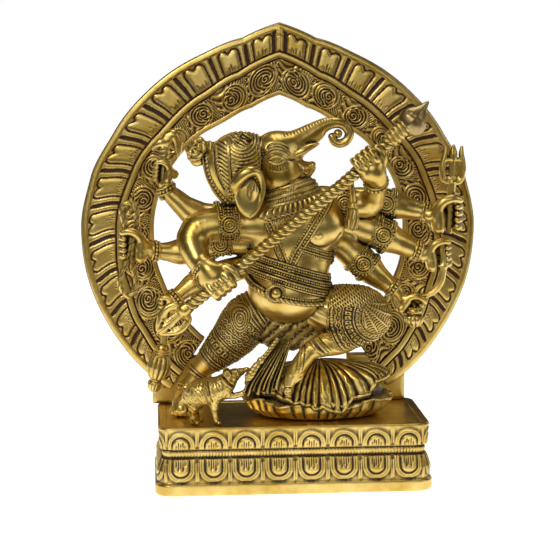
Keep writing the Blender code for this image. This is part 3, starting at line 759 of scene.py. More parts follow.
def petal_relief(along, across, width, pitch, lean):
    """Outer band: framed petals between dark beaded channels, under a rolled rim.

    along: signed length from the apex; across: distance out from the ridge line; width: the
    band's width there; lean: how much the channels sweep, 0 at the apex to 1 on the sides.
    """
    v = across / width
    edge = width - across
    sweep = lean * (6.0 * (0.5 - v) - 5.0 * smooth((v - 0.72) / 0.28) + 1.2 * np.sin(6.28 * v))
    place = np.abs(along) + sweep * np.where(np.abs(along) < pitch * 0.5, 0.3, 1.0)
    cell = place / pitch
    x = (cell - np.floor(cell) - 0.5) * pitch
    flip = np.where(along < 0, -1.0, 1.0)
    x_signed = x * flip
    top = (8.4 - 1.6 * bell(x_signed + 4.5, 2.6) + 1.9 * bell(x_signed - 0.3, 2.0)
           - 0.7 * bell(x_signed - 5.0, 2.6))
    half, corner = pitch * 0.262, 2.6
    dx = np.abs(x) - (half - corner)
    dy = top + corner - edge
    outline = (np.hypot(np.maximum(dx, 0), np.maximum(dy, 0)) + np.minimum(np.maximum(dx, dy), 0)
               - corner)
    height = 1.45 + 0.4 * smooth(-outline / 3.5)
    speckle = grain(along, across, size=0.95)
    groove = bell(outline - 0.9, 0.85)
    height -= groove * (1.15 + 0.25 * speckle)
    gap = pitch / 2 - np.abs(x)
    mouth = np.clip((edge - 3.2) / 7.0, 0.02, 1.0) ** 0.6
    channel = smooth(1.25 - (gap / (2.3 * mouth)) ** 2)
    channel *= smooth((edge - 2.6) / 2.5) * (np.abs(along) > pitch * 0.4)
    height -= channel * (1.5 - 0.42 * np.abs(speckle))
    for offset, length in ((-6.2, 5.0), (-4.0, 8.0), (-2.0, 6.5), (0.2, 9.0), (2.4, 6.0),
                           (4.4, 7.5), (6.4, 4.5)):
        reach = np.clip((across - RIDGE_HALF) / length, 0, 1)
        height -= 0.75 * bell(x - offset, 0.62 * (1.02 - reach)) * (reach < 1)
    pillar = np.abs(along)
    near = smooth((pitch * 0.42 - pillar) / 2.0)
    column = (1.2 * smooth((3.6 - pillar) / 1.0) - 1.1 * bell(pillar - 5.0, 1.0)
              - 0.8 * bell(across - 17.0, 0.6) * (pillar < 4) - 0.6 * bell(pillar - 1.3, 0.4))
    height += near * column * smooth((edge - 2.5) / 3.0)
    ridge = smooth((RIDGE_HALF - np.abs(across)) / 0.9)
    height = height * smooth((across - RIDGE_HALF + 0.3) / 1.6) * (across > 0)
    height = np.maximum(height, ridge * (2.05 - 0.05 * across ** 2))
    rim = np.sqrt(np.clip(1 - (1 - np.clip(edge, 0, 4.2) / 4.2) ** 2, 0, 1))
    roll = 2.0 * rim * smooth((8.5 - edge) / 4.0)
    lowered = np.where(edge < 8.5, np.maximum(height * rim, roll), height)
    return lowered


def scroll_relief(along, inward, width, pitch):
    """Inner band: a vine that curls into one leafy spiral after another, with a plain fillet."""
    cell = along / pitch
    number = np.floor(cell)
    side = np.where(np.mod(number, 2) < 1, 1.0, -1.0)
    x = (cell - number - 0.5) * pitch
    y = inward - width * 0.46
    reach = np.minimum(width * 0.43, pitch * 0.5)
    heart_x, heart_y = x + 1.8 * side, y - 1.4 * side
    core = np.hypot(heart_x, heart_y)
    turn = np.arctan2(heart_y * side, heart_x * side)
    drop = 1 + 0.15 * np.cos(turn - 0.9) + 0.06 * np.cos(2 * turn + 0.5)
    swirl = np.hypot(x, y) / drop
    spiral = 0.5 + 0.5 * np.cos(6.2832 * core / 2.7 - turn)
    arcs = 0.5 + 0.5 * np.cos(6.2832 * swirl / 2.3 - turn)
    fronds = 0.5 + 0.5 * np.cos(5.0 * turn + 1.9 * core)
    open_side = smooth(0.85 + 1.2 * np.cos(turn - 0.9))
    leaf = np.where(core < 4.4, spiral, open_side * arcs + (1 - open_side) * fronds)
    stem = np.maximum(bell(swirl - reach + 0.5, 0.95), bell(swirl - reach + 3.0, 0.7))
    inside = smooth((reach - 1.0 - swirl) / 1.2)
    sprig = np.hypot(np.abs(x) - pitch * 0.5, y - side * width * 0.30)
    corner = np.where(sprig < 3.4, 0.5 + 0.5 * np.cos(6.2832 * sprig / 2.2),
                      0.5 + 0.5 * np.cos(6.2832 * (x * 0.5 + side * y * 0.33 + 0.03 * x * x) / 2.1))
    height = np.maximum(inside * leaf, stem) * 1.35
    height = np.maximum(height, (1 - inside) * (swirl > reach) * corner * 1.05)
    height *= smooth(inward / 1.2)
    fillet = smooth((inward - (width - 4.6)) / 0.8)
    lip = np.sqrt(np.clip(1 - (1 - np.clip(width - inward, 0, 1.5) / 1.5) ** 2, 0, 1))
    return np.maximum(height * (1 - fillet), fillet * 1.5 * lip) - 0.25


def arch_band(inner, outer, relief, angles):
    """One closed band of the aureole: relief in front, plain edges and a plain back."""
    radii = inner[:, None] + (outer - inner)[:, None] * np.linspace(0, 1, relief.shape[1])[None, :]
    turn = np.radians(angles)[:, None]

    def ring(radius, depth):
        return np.stack([radius * np.sin(turn), np.broadcast_to(depth, radius.shape),
                         ARCH_Z + radius * np.cos(turn)], axis=-1)

    front = ring(radii, ARCH_FLOOR - relief)
    span = outer - inner
    rows = [front]
    for fraction, depth in ((1.0, 0.55), (1.0, 0.9)):
        rows.append(ring((inner + span * fraction)[:, None],
                         ARCH_FLOOR + (ARCH_BACK - ARCH_FLOOR) * depth))
    for fraction in (0.97, 0.8, 0.6, 0.4, 0.2, 0.03):
        dent = 0.16 * grain(angles[:, None] * 2.2, np.full((len(angles), 1), fraction * 9), size=3.0)
        rows.append(ring((inner + span * fraction)[:, None], ARCH_BACK - 0.25 + dent))
    for depth in (0.9, 0.55):
        rows.append(ring(inner[:, None], ARCH_FLOOR + (ARCH_BACK - ARCH_FLOOR) * depth))
    rings = np.concatenate(rows, axis=1)
    dirt = np.full(rings.shape[:2], 0.12)
    dirt[:, :relief.shape[1]] = cavity(relief, 5, depth=0.5)
    shape = Shape()
    shape.loops(rings, dirt)
    return shape


def along_rail(angles, radius):
    """Signed length along a rail, measured from the apex."""
    turn = np.radians(angles)
    points = np.stack([radius * np.sin(turn), radius * np.cos(turn)], axis=-1)
    steps = np.linalg.norm(np.diff(points, axis=0), axis=1)
    length = np.concatenate([[0], np.cumsum(steps)])
    return length - np.interp(0.0, angles, length)


def aureole():
    """The arch in two chased bands, petals outside and scrollwork inside."""
    angles = np.linspace(-FOOT_ANGLE, FOOT_ANGLE, 1021)
    outer, ridge, inner = (rail(stations, angles)
                           for stations in (OUTER_RAIL, RIDGE_RAIL, INNER_RAIL))
    middle = along_rail(angles, (outer + ridge) / 2)
    pitch = middle[-1] * PETAL_ANGLE / FOOT_ANGLE
    seam = ridge - RIDGE_HALF
    fraction = np.linspace(0, 1, 78)[None, :]
    across = seam[:, None] - ridge[:, None] + (outer - seam)[:, None] * fraction
    lean = smooth((np.abs(angles) - 18) / 45)[:, None]
    relief = petal_relief(middle[:, None], across, (outer - ridge)[:, None], pitch, lean)
    bands = arch_band(seam, outer, relief, angles)
    add_feet(bands)
    bands.piece("aureole_petal_band", "aureole_brass", "aureole_casting", "aureole")

    vine = along_rail(angles, (inner + seam) / 2)
    scroll_pitch = vine[-1] * SCROLL_ANGLE / FOOT_ANGLE
    fraction = np.linspace(0, 1, 66)[None, :]
    inward = (seam - inner)[:, None] * (1 - fraction)
    relief = scroll_relief(vine[:, None], inward, (seam - inner)[:, None], scroll_pitch)
    scrolls = arch_band(inner, seam, relief, angles)
    scrolls.piece("aureole_scroll_band", "aureole_brass", None, "aureole")


def rounded_block(low, high, bevel, cells=(14, 6, 14)):
    """A box with rounded edges and slightly uneven faces, as one closed skin."""
    low, high = np.array(low, float), np.array(high, float)
    centre, half = (low + high) / 2, (high - low) / 2
    points, faces, count = [], [], 0
    for axis in range(3):
        for side in (-1, 1):
            u, v = [a for a in range(3) if a != axis]
            gu, gv = np.meshgrid(np.linspace(-1, 1, cells[u]), np.linspace(-1, 1, cells[v]),
                                 indexing="ij")
            cube = np.zeros(gu.shape + (3,))
            cube[..., axis], cube[..., u], cube[..., v] = side, gu, gv
            points.append((cube * half).reshape(-1, 3))
            quads = grid_faces(cells[u], cells[v]) + count
            if (side > 0) == (axis == 1):
                quads = quads[:, ::-1]
            faces.append(quads)
            count += gu.size
    points = np.concatenate(points)
    core = np.clip(points, -(half - bevel), half - bevel)
    points = core + unit(points - core) * np.minimum(
        np.linalg.norm(points - core, axis=1, keepdims=True), bevel)
    _, first, index = np.unique(np.round(points, 3), axis=0, return_index=True,
                                return_inverse=True)
    return points[first] + centre, [index.reshape(-1)[np.concatenate(faces)]]


def add_feet(shape):
    """The plates that the arch stands on, and the tenons under them."""
    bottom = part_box("aureole_casting")[0][2] / MM
    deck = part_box("pedestal_casting")[1][2] / MM
    for side in (-1, 1):
        x = sorted((side * 60.2, side * 112.8))
        shape.add(*rounded_block((x[0], 41.4, deck + 0.4), (x[1], 48.6, 100.0), 1.2), 0.1)
        tenon = sorted((side * 76.0, side * 96.0))
        shape.add(*rounded_block((tenon[0], 42.0, bottom), (tenon[1], 47.0, deck + 3.0), 0.5,
                                 (4, 4, 4)), 0.3)


# ---------------------------------------------------------------- pedestal

BASE_PROFILE = ((0.02, 0.3), (0.5, -0.4), (1.5, -0.6), (7.9, -0.6), (8.9, -0.3), (9.6, 0.9),
                (10.6, 2.0), (13.0, 2.0), (20.0, 1.9), (30.0, 5.4), (30.9, 7.0), (31.5, 7.0),
                (37.2, 7.0), (37.9, 7.0), (38.5, 4.9), (46.0, 4.2), (53.6, 3.3), (54.6, 2.5),
                (56.2, 2.3), (57.2, 3.0), (57.5, 4.6), (57.45, 7.0), (57.2, 10.0))
PEDESTAL_CORNER = 14.0          # radius of its upright corners
PEDESTAL_STEPS = 1010           # columns of the skin round it
PETALS_ROUND = 24


def arched_petal(x, y, length, half):
    """A petal of nested arches with a domed heart; y runs from its flat end to its tip."""
    straight = length - half
    outline = np.where(y > straight, np.hypot(x, y - straight), np.abs(x)) - half
    heart = smooth(-(outline + 4.0) / 2.2)
    height = 1.25 * heart + 0.9 * bell(outline + 2.5, 0.65) + 1.05 * bell(outline + 0.3, 0.85)
    height += 0.12 * smooth(-outline)
    for offset, reach in ((-3.6, 0.34), (-1.8, 0.5), (0.0, 0.42), (1.9, 0.52), (3.7, 0.32)):
        stroke = bell(x - offset, 0.5) * smooth((length * reach - y) / 1.5)
        height -= 1.0 * stroke * heart
    between = np.abs(x) - half
    spear = bell(between - 1.6, 0.55) * smooth((y - length * 0.1) / 2)
    return np.maximum(height, 0.8 * spear)


def pedestal_relief(s, z, pitch):
    """Two rows of petals facing each other across a ribbed belt."""
    cell = s / pitch
    x = (cell - np.floor(cell) - 0.5) * pitch
    half = pitch * 0.41
    lower = arched_petal(x, 30.0 - z, 18.6, half) * smooth((z - 10.6) / 1.2)
    lower *= smooth((30.6 - z) / 0.8)
    upper = arched_petal(x, z - 38.6, 14.4, half) * smooth((z - 38.4) / 0.6)
    upper *= smooth((54.2 - z) / 0.8)
    rib = np.abs(np.sin(np.pi * s / 2.63 + 0.4 * grain(s, 0.0, size=40.0)))
    belt = smooth((z - 31.5) / 0.7) * smooth((37.4 - z) / 0.7)
    bulge = 1 - ((z - 34.4) / 3.3) ** 2
    wave = 0.5 + 0.5 * bell(z - 35.8, 1.6)
    return lower + upper + belt * bulge * (0.2 + 1.5 * rib ** 0.7 * wave)


def pedestal():
    """The chased skin round the pedestal's walls, rolled over the edge of its deck."""
    low, high = (np.array(corner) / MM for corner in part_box("pedestal_casting"))
    centre, half = (low + high) / 2, (high - low) / 2
    corner = PEDESTAL_CORNER
    quarter = corner * math.pi / 2
    sides = (2 * (half[1] - corner), 2 * (half[0] - corner))
    total = 2 * sum(sides) + 4 * quarter
    count = PEDESTAL_STEPS
    s = np.linspace(0, total, count, endpoint=False)
    pitch = total / PETALS_ROUND
    path, normal = np.zeros((count, 2)), np.zeros((count, 2))
    position = np.mod(s + sides[1] / 2, total)
    x0, y0 = half[0] - corner, half[1] - corner
    edges = ((-x0, -half[1], 1, 0, 0, -1, sides[1]), (x0, -y0, 0, 0, 0, 0, quarter),
             (half[0], -y0, 0, 1, 1, 0, sides[0]), (x0, y0, 0, 0, 0, 0, quarter),
             (x0, half[1], -1, 0, 0, 1, sides[1]), (-x0, y0, 0, 0, 0, 0, quarter),
             (-half[0], y0, 0, -1, -1, 0, sides[0]), (-x0, -y0, 0, 0, 0, 0, quarter))
    begin, heading = 0.0, -90.0
    for ex, ey, dx, dy, nx, ny, length in edges:
        here = (position >= begin) & (position < begin + length)
        t = position[here] - begin
        if dx or dy:
            path[here] = np.stack([ex + dx * t, ey + dy * t], axis=-1)
            normal[here] = (nx, ny)
        else:
            angle = np.radians(heading + 90.0 * t / length)
            normal[here] = np.stack([np.cos(angle), np.sin(angle)], axis=-1)
            path[here] = np.array([ex, ey]) + corner * normal[here]
            heading += 90.0
        begin += length
    knots = np.array(BASE_PROFILE)
    lengths = np.concatenate([[0], np.cumsum(np.linalg.norm(np.diff(knots, axis=0), axis=1))])
    fine = np.linspace(0, lengths[-1], 92)
    z = np.interp(fine, lengths, knots[:, 0])
    inset = np.interp(fine, lengths, knots[:, 1])
    relief = pedestal_relief(s[:, None], z[None, :], pitch)
    relief = np.where(fine[None, :] > np.interp(56.0, knots[:-4, 0], lengths[:-4]), 0.0, relief)
    depth = inset[None, :] - relief
    flat = path[:, None, :] - normal[:, None, :] * depth[..., None]
    skin = np.concatenate([flat + centre[:2], np.broadcast_to(z[None, :, None],
                                                              flat.shape[:2] + (1,))], axis=-1)
    inner = []
    for height, back in ((55.0, 10.5), (30.0, 10.5), (1.2, 3.0)):
        ring = path - normal * back + centre[:2]
        inner.append(np.concatenate([ring, np.full((count, 1), height)], axis=-1)[:, None, :])
    rings = np.concatenate([skin] + inner, axis=1)
    dirt = np.zeros(rings.shape[:2])
    dirt[:, :len(z)] = cavity(relief, 4, (True, False), 0.5)
    shape = Shape()
    shape.loops(rings, dirt, closed=True)
    shape.piece("pedestal_chased_walls", "pedestal_brass")


# ---------------------------------------------------------------- body

TORSO_CLAY = (-62, -48, 134), (76, 30, 262), 0.95      # low corner, high corner and cell


def torso():
    """Chest, belly and shoulders in one casting, and the marks chased into them."""
    clay = Clay(*TORSO_CLAY)
    clay.ball((6, -9, 222), (36, 24, 33), turn=(0, 6, 0))
    clay.ball((30, -19, 223), (21, 15, 19), 9, turn=(0, 12, 0))
    clay.ball((-8, -18, 224), (20, 14, 17), 9)
    clay.ball((4, -12, 166), (35.5, 29.5, 28.5), 11)
    clay.ball((4, -9, 192), (36, 24, 20), 12)
    clay.ball((33, -8, 240), (17, 15, 14), 9)
    clay.ball((-22, -12, 226), (16, 16, 15), 8)
    clay.limb(((6, -11, 236, 20), (3, -13, 256, 16)), 8)
    bare = Clay(*TORSO_CLAY)
    bare.field = clay.field.copy()
    for name in ARMS:
        stub = ARMS[name]["upper"][:3]
        clay.limb(stub[:-1] + (tuple(0.55 * np.array(stub[1]) + 0.45 * np.array(stub[2])),), 6,
                  thin=0.3)
    marks = [([(26.6, 217.4), (28.8, 215), (26.6, 212.8), (24.4, 215), (26.6, 217.4)], 0.6, 0.5),
             ([(26.6, 215.2), (26.8, 214.8)], 1.1, 0.9),
             ([(18, 211), (24, 206.5), (33, 205), (41, 209), (46, 216)], 1.2, -0.8)]

    def relief(points, normals):
        return strokes(points, normals, marks) + 0.06 * grain(*points.T, size=5.0)

    skin = Shape()
    skin.add(*clay.skin(relief))
    skin.piece("torso_belly", "figure_brass", "torso")
    return bare


def body_jewels(bare):
    """Strands and belts laid on the bare torso."""
    belts = Shape()
    for height, size in ((187.8, 1.12), (181.0, 1.12), (174.2, 1.12)):
        path = bare.ring((3, -8, height), (0.31, 0.02, 1.0), 60)
        path = (path - path.mean(axis=0)) * 1.01 + path.mean(axis=0)
        triple_band(belts, path, closed=True, size=size)
    belts.piece("belly_belts", "bright_brass")

    strands = Shape()
    for offset in (-2.6, 0.0, 2.6):
        right = bare.front(curve(((42 + offset * 0.5, 254), (35 + offset, 241), (26 + offset, 228),
                                  (17.5 + offset, 214), (9.5 + offset, 201),
                                  (2 + offset * 0.8, 186.5)), 1.0))
        left = bare.front(curve(((-15 + offset, 226), (-9.5 + offset, 213), (-4.5 + offset, 199),
                                 (1 + offset * 0.8, 187)), 1.0))
        for path in (right, left):
            if offset:
                rope(strands, path, 1.05, sides=8)
                for gap in (-1.25, 1.25):
                    rope(strands, path + (gap, 0.1, 0), 0.6, sides=6, dirt=1.0)
            else:
                bead_string(strands, path, 1.5)
        if offset < 0:
            bead_string(strands, right[len(right) // 3:] + (offset, 0, 0), 1.3)
            bead_string(strands, left + (-1.3 * offset, 0, 0), 1.2)
    for start, drop in ((206.0, 0.0), (201.5, 0.0)):
        path = bare.front(curve(((12, start), (22, start - 3.6), (33, start - 7.5),
                                 (41.5, start - 10.5)), 1.0))
        triple_band(strands, path, size=1.0)
    drop = bare.front(np.array([(1.8, 185.5)]))
    beads(strands, drop + (0, -0.6, 0), 2.0)
    for k in range(7):
        path = bare.front(curve(((-12 + 2.2 * k, 229 + 0.4 * k), (-10 + 2.0 * k, 224 + 0.6 * k),
                                 (-9.5 + 1.9 * k, 219 + 0.9 * k)), 1.0))
        rope(strands, path, np.float64(1.0), sides=8)
    strands.piece("chest_strands", "bright_brass")

    girdle = Shape()
    centre, tilt = np.array((3.0, -9.0, 171.0)), (0.22, -0.30, 1.0)
    path = bare.ring(centre, tilt, 60)
    turned = (path - centre) * 1.045 + centre
    rope(girdle, turned, 2.1, True, 12, twist=4.4, depth=0.7)
    bead_string(girdle, (path - centre) * 1.03 + centre + (0, 0, 3.0), 1.15, True)
    girdle.piece("hanging_girdle", "bright_brass", "waist_girdle")

    boss = Shape()
    place = bare.front(np.array([(-9.6, 168.2)]))[0] + (0, -1.6, 0)
    turn = np.linspace(0, 2 * np.pi, 40, endpoint=False)
    cup = place + 6.2 * np.stack([np.cos(turn), 0 * turn, np.sin(turn)], axis=-1)
    rope(boss, cup, 1.2, True, 8)
    bead_string(boss, place + (cup - place) * 1.26, 0.95, True)
    beads(boss, place + (0, -0.8, 0), 4.6)
    beads(boss, place + (0, 2.0, 0), 6.4, 0.9)
    boss.piece("girdle_boss", "bright_brass", "girdle_medallion")


def collar():
    """Necklaces round the throat: beads, ribs and a leafy fringe."""
    clay = Clay((-38, -54, 212), (48, 20, 272), 0.6)
    clay.ball((5, -13, 250), (23, 20.5, 12), 3, turn=(0, -16, 0))
    clay.ball((9, -12, 240), (30, 22.5, 11), 5, turn=(0, -14, 0))
    clay.ball((-1, -11, 233.5), (34, 24.5, 12.5), 5, turn=(0, -12, 0))

    def relief(points, normals):
        x, y, z = points.T
        level = z - 0.30 * (x - 5) + 0.06 * (y + 13) - 2.5
        turn = np.arctan2(y + 13, x - 5)
        leaf = 0.5 + 0.5 * np.cos(34 * turn)
        fringe = smooth((240 - level) / 1.5) * smooth((level - 230.5) / 2)
        ribs = np.abs(np.cos(46 * turn))
        height = 1.2 * fringe * leaf * (1 - 0.6 * smooth((236 - level) / 4))
        scallop = np.hypot(((turn * 6.5) % 1.0 - 0.5) * 7.5, level - 226.5)
        height += (1 - fringe) * (level < 232) * (0.5 + 0.5 * np.cos(WAVE * scallop / 2.4))
        for middle, width, kind in ((254.5, 1.3, 0), (251, 1.4, 1), (247.2, 1.3, 0), (243.6, 1.6, 1)):
            height += bell(level - middle, width) * (1.3 * ribs if kind else 1.0)
        return height * smooth((-y - 2) / 6) + 0.05

    skin = Shape()
    skin.add(*clay.skin(relief))
    for level, size in ((257.6, 0.9), (254.2, 1.05), (250.0, 1.0), (245.6, 1.2)):
        path = clay.ring((5, -13, level), (-0.30, 0.06, 1.0), 44, 200, 6.0)
        bead_string(skin, path, size, True)
    skin.piece("necklace_strands", "chased_brass", "necklace_collar")


def hips():
    """Cloth wound round the hips, in folds that run across them."""
    clay = Clay((-46, -44, 104), (54, 26, 164), 0.8)
    clay.ball((4, -3, 134), (33, 22, 21))
    clay.ball((22, -8, 142), (24, 18, 15), 8)
    clay.ball((-18, -2, 142), (20, 18, 15), 8)

    def relief(points, normals):
        x, y, z = points.T
        folds = np.sin((z * 0.55 - 0.5 * x + 1.2 * grain(x, y, z, 9.0)) * 1.1)
        return 0.55 * folds + 0.35 * grain(x, y, z, 1.6)

    skin = Shape()
    points, faces, patina_and_shade_level = clay.skin(relief)
    skin.add(points, faces, np.clip(patina_and_shade_level + 0.2, 0, 0.9))
    skin.piece("hips_cloth", "chased_brass", "hips_wrap")


STANDING_LEG = ((-14, -5, 152, 17), (-30, -3, 141, 21), (-43, 1, 124, 18.5), (-57, 6, 109, 14),
                (-70, 10, 96, 9.8), (-79, 11, 84, 7.2), (-83, 11, 76, 6.6))
THIGH = ((14, -8, 148, 15), (34, -14, 149, 20), (54, -19, 148, 23.5), (68, -21, 146, 20.5),
         (76, -21, 144, 14))
SHIN = ((64, -28, 131, 9), (46, -34, 126, 11), (30, -38, 123, 9.5), (19, -41, 119, 7.8),
        (12, -43, 111, 7.2), (5, -44, 102, 6.4), (1, -44.5, 94, 4.6))


def textile(along, turn, radius, bands):
    """Bands of woven pattern round a limb: (start, end, kind) along it, in mm."""
    around_it = turn * radius
    height = np.zeros(len(along))
    for start, end, kind in bands:
        t, width = along - start, end - start
        inside = smooth(t / 0.8) * smooth((end - along) / 0.8)
        middle = t - width / 2
        if kind == "beads":
            mark = np.sqrt(np.abs(np.sin(np.pi * around_it / 2.3))) * bell(middle, width * 0.33)
        elif kind == "cord":
            mark = bell(middle, width * 0.30)
        elif kind == "squares":
            cell = np.abs(np.mod(around_it, 4.6) - 2.3)
            mark = smooth((1.75 - cell) / 0.5) * smooth((width * 0.40 - np.abs(middle)) / 0.5)
            mark = mark - 0.7 * smooth((0.95 - cell) / 0.4) * smooth((width * 0.2 - np.abs(middle)) / 0.4)
        elif kind == "scale":
            row = np.floor(t / 3.4)
            x = np.mod(around_it + row * 2.6, 5.2) - 2.6
            y = np.mod(t, 3.4)
            mark = 0.5 + 0.5 * np.cos(np.hypot(x, y) * 2.9)
        elif kind == "scroll":
            x = np.mod(around_it, width * 1.05) - width * 0.52
            swirl = np.arctan2(middle, x)
            mark = 0.5 + 0.5 * np.cos(np.hypot(x, middle) * 2.5 - 2 * swirl)
        else:                                                    # slanting stripes
            mark = 0.5 + 0.5 * np.cos(WAVE * (around_it + 0.8 * t) / 2.7)
        height += inside * mark
    return height


def standing_leg():
    """The straight leg in patterned cloth, down to the bare ankle and the foot."""
    clay = Clay((-100, -28, 56.5), (8, 32, 178), 0.64)
    clay.limb(STANDING_LEG, 3)
    clay.limb(((-83, 11, 78, 6.4), (-85, 7, 71, 8.4), (-87, 1, 66.4, 9.0), (-88, -4, 63, 7.4)), 4)
    clay.limb(((-83, 12, 70, 6.5), (-83, 15, 64, 6.2)), 4)
    for k in range(5):
        x = -95.0 + 3.5 * k
        clay.limb(((x, -5, 63.0, 3.0), (x - 0.8, -11 + 0.5 * abs(k - 3), 60.6, 2.7)), 0.7)
    clay.ball((-84, 5, 50), (40, 40, 6.8), 0.4, carve=True)
    bands = ((2, 5, "beads"), (5.5, 8, "cord"), (8, 11, "beads"), (12, 14, "cord"),
             (14, 17, "beads"), (17.4, 24.4, "scroll"), (24.8, 26.4, "cord"),
             (26.6, 32.4, "scale"), (32.5, 34.5, "cord"), (34.5, 43, "scale"), (43.5, 45.5, "cord"),
             (46, 48.5, "beads"), (49, 56, "squares"), (56.5, 58.5, "cord"), (59, 63, "slant"),
             (63.5, 66, "cord"), (66.5, 69, "beads"), (70, 72, "cord"), (84, 86.5, "cord"),
             (87, 90, "beads"))

    def relief(points, normals):
        along, turn = chart(points, STANDING_LEG)
        calf = np.interp(along, (0, 20, 50, 80, 100), (18, 20, 14, 8, 7))
        height = 0.95 * textile(along, turn, calf, bands)
        x, _, z = points.T
        swirl = np.hypot((x + 38.5) * (1.25 - 0.03 * (z - 144)), (z - 144) * 0.85)
        medal = smooth((12 - swirl) / 1.5) * smooth((-normals[:, 1] - 0.1) / 0.3)
        rays = 0.5 + 0.5 * np.cos(15 * np.arctan2(z - 144, x + 38.5))
        rings = 0.5 + 0.5 * np.cos(WAVE * swirl / 2.3)
        number = np.mod(np.floor(swirl / 2.3 + 0.5), 2)
        height = height * (1 - medal) + medal * rings * (0.75 - 0.45 * (number == 1) * rays)
        toes = [([(x0, 62.2), (x0 + 0.6, 60.8)], 0.7, -0.35) for x0 in (-90, -87, -84.2, -81.3)]
        return height * smooth((z - 70) / 4) + strokes(points, normals, toes)

    skin = Shape()
    skin.add(*clay.skin(relief))
    bead_string(skin, clay.ring((-83, 11, 79), (0.1, 0.0, 1.0), 12, 60), 1.25, True)
    rope(skin, clay.ring((-82, 11, 82), (0.1, 0.0, 1.0), 12, 60), 1.0, True, 8)
    skin.piece("standing_leg_textile", "chased_brass", "leg_standing")


def bent_leg():
    """The folded leg: cloth fanned over the knee, bare shin, foot hanging over the seat."""
    clay = Clay((-12, -56, 80), (98, 12, 180), 0.64)
    clay.limb(THIGH, 3)
    clay.ball((64, -20, 145), (23, 22, 24), 5)
    clay.limb(SHIN, 4)
    clay.limb(((2, -46, 97, 4.2), (0, -47.5, 89, 3.4), (-0.5, -47.5, 86, 3.2)), 2)
    for k in range(4):
        x = 3.2 + 2.7 * k
        clay.limb(((x, -44, 97 + 1.6 * k, 2.6), (x - 1.4, -46, 92 + 1.8 * k, 2.2)), 1.2)

    def relief(points, normals):
        x, _, z = points.T
        turned = np.clip((0.9 - np.abs(normals[:, 0] * 0.6 + normals[:, 2] * 0.4)) / 0.3, 0, 1)
        round_knee = np.hypot(x - 76, z - 147)
        around_knee = np.arctan2(z - 147, x - 76)
        cloth = smooth((42.5 - round_knee) / 1.0) * smooth((z - 119) / 2.5) * (x > 20)
        bands = ((0, 1.8, "cord"), (2.0, 5.2, "beads"), (5.6, 11.4, "scale"), (11.6, 13.4, "cord"),
                 (13.6, 20.4, "squares"), (20.6, 22.4, "cord"), (22.6, 28.0, "scroll"),
                 (28.0, 29.6, "cord"))
        height = textile(42.5 - round_knee, around_knee, 30.0, bands)
        fan = np.arctan2(z - 160, x - 61)
        away = np.hypot(x - 61, z - 160)
        leaf = np.mod(fan, 0.30)
        rib = bell((leaf - 0.15) * away, 0.75)
        hatch = 0.5 + 0.5 * np.cos(2.6 * away + 20 * np.abs(leaf - 0.15))
        knee = smooth((13.8 - round_knee) / 1.5) * smooth((away - 1.5) / 1.5)
        height = height * (1 - knee) + knee * (rib + 0.55 * hatch * (1 - rib))
        top = smooth((z - 153 - 0.12 * (x - 30)) / 1.2) * (round_knee > 12)
        weave = 0.5 + 0.5 * np.cos(2.5 * (x + 0.5 * z)) * np.cos(0.9 * (z - 0.6 * x))
        height = height * (1 - top) + top * 0.9 * weave
        height = 1.05 * height * cloth * turned + (1 - cloth * turned) * 0.25 * np.sin(0.8 * z + 0.5 * x)
        lines = [([(10.5, 128), (9.4, 116), (7.5, 104)], 0.8, 0.8),
                 ([(14, 128), (13.4, 116), (12, 105)], 0.6, -0.5),
                 ([(19, 128), (24, 122), (29, 117)], 0.8, 0.9),
                 ([(22.5, 130), (27, 124.5), (32.5, 118.5)], 0.8, 0.9),
                 ([(26, 131), (30, 127), (36, 120.5)], 0.6, -0.6),
                 ([(-3.4, 90), (-0.4, 90.6), (2.8, 90)], 0.55, -0.7),
                 ([(-2, 86.4), (-0.4, 85.4), (1.4, 86.2)], 0.5, -0.4)]
        return height * smooth((z - 117) / 3) + strokes(points, normals, lines)

    skin = Shape()
    skin.add(*clay.skin(relief))
    chain = clay.front(curve(((12, 127), (10.6, 119), (9.2, 111), (8.2, 103)), 1.0))
    bead_string(skin, chain, 1.1)
    bead_string(skin, clay.front(curve(((35, 147), (34.5, 136), (38, 127), (42, 121)), 1.0)), 1.1)
    skin.piece("bent_leg_textile", "chased_brass", "leg_bent")


# ---------------------------------------------------------------- head

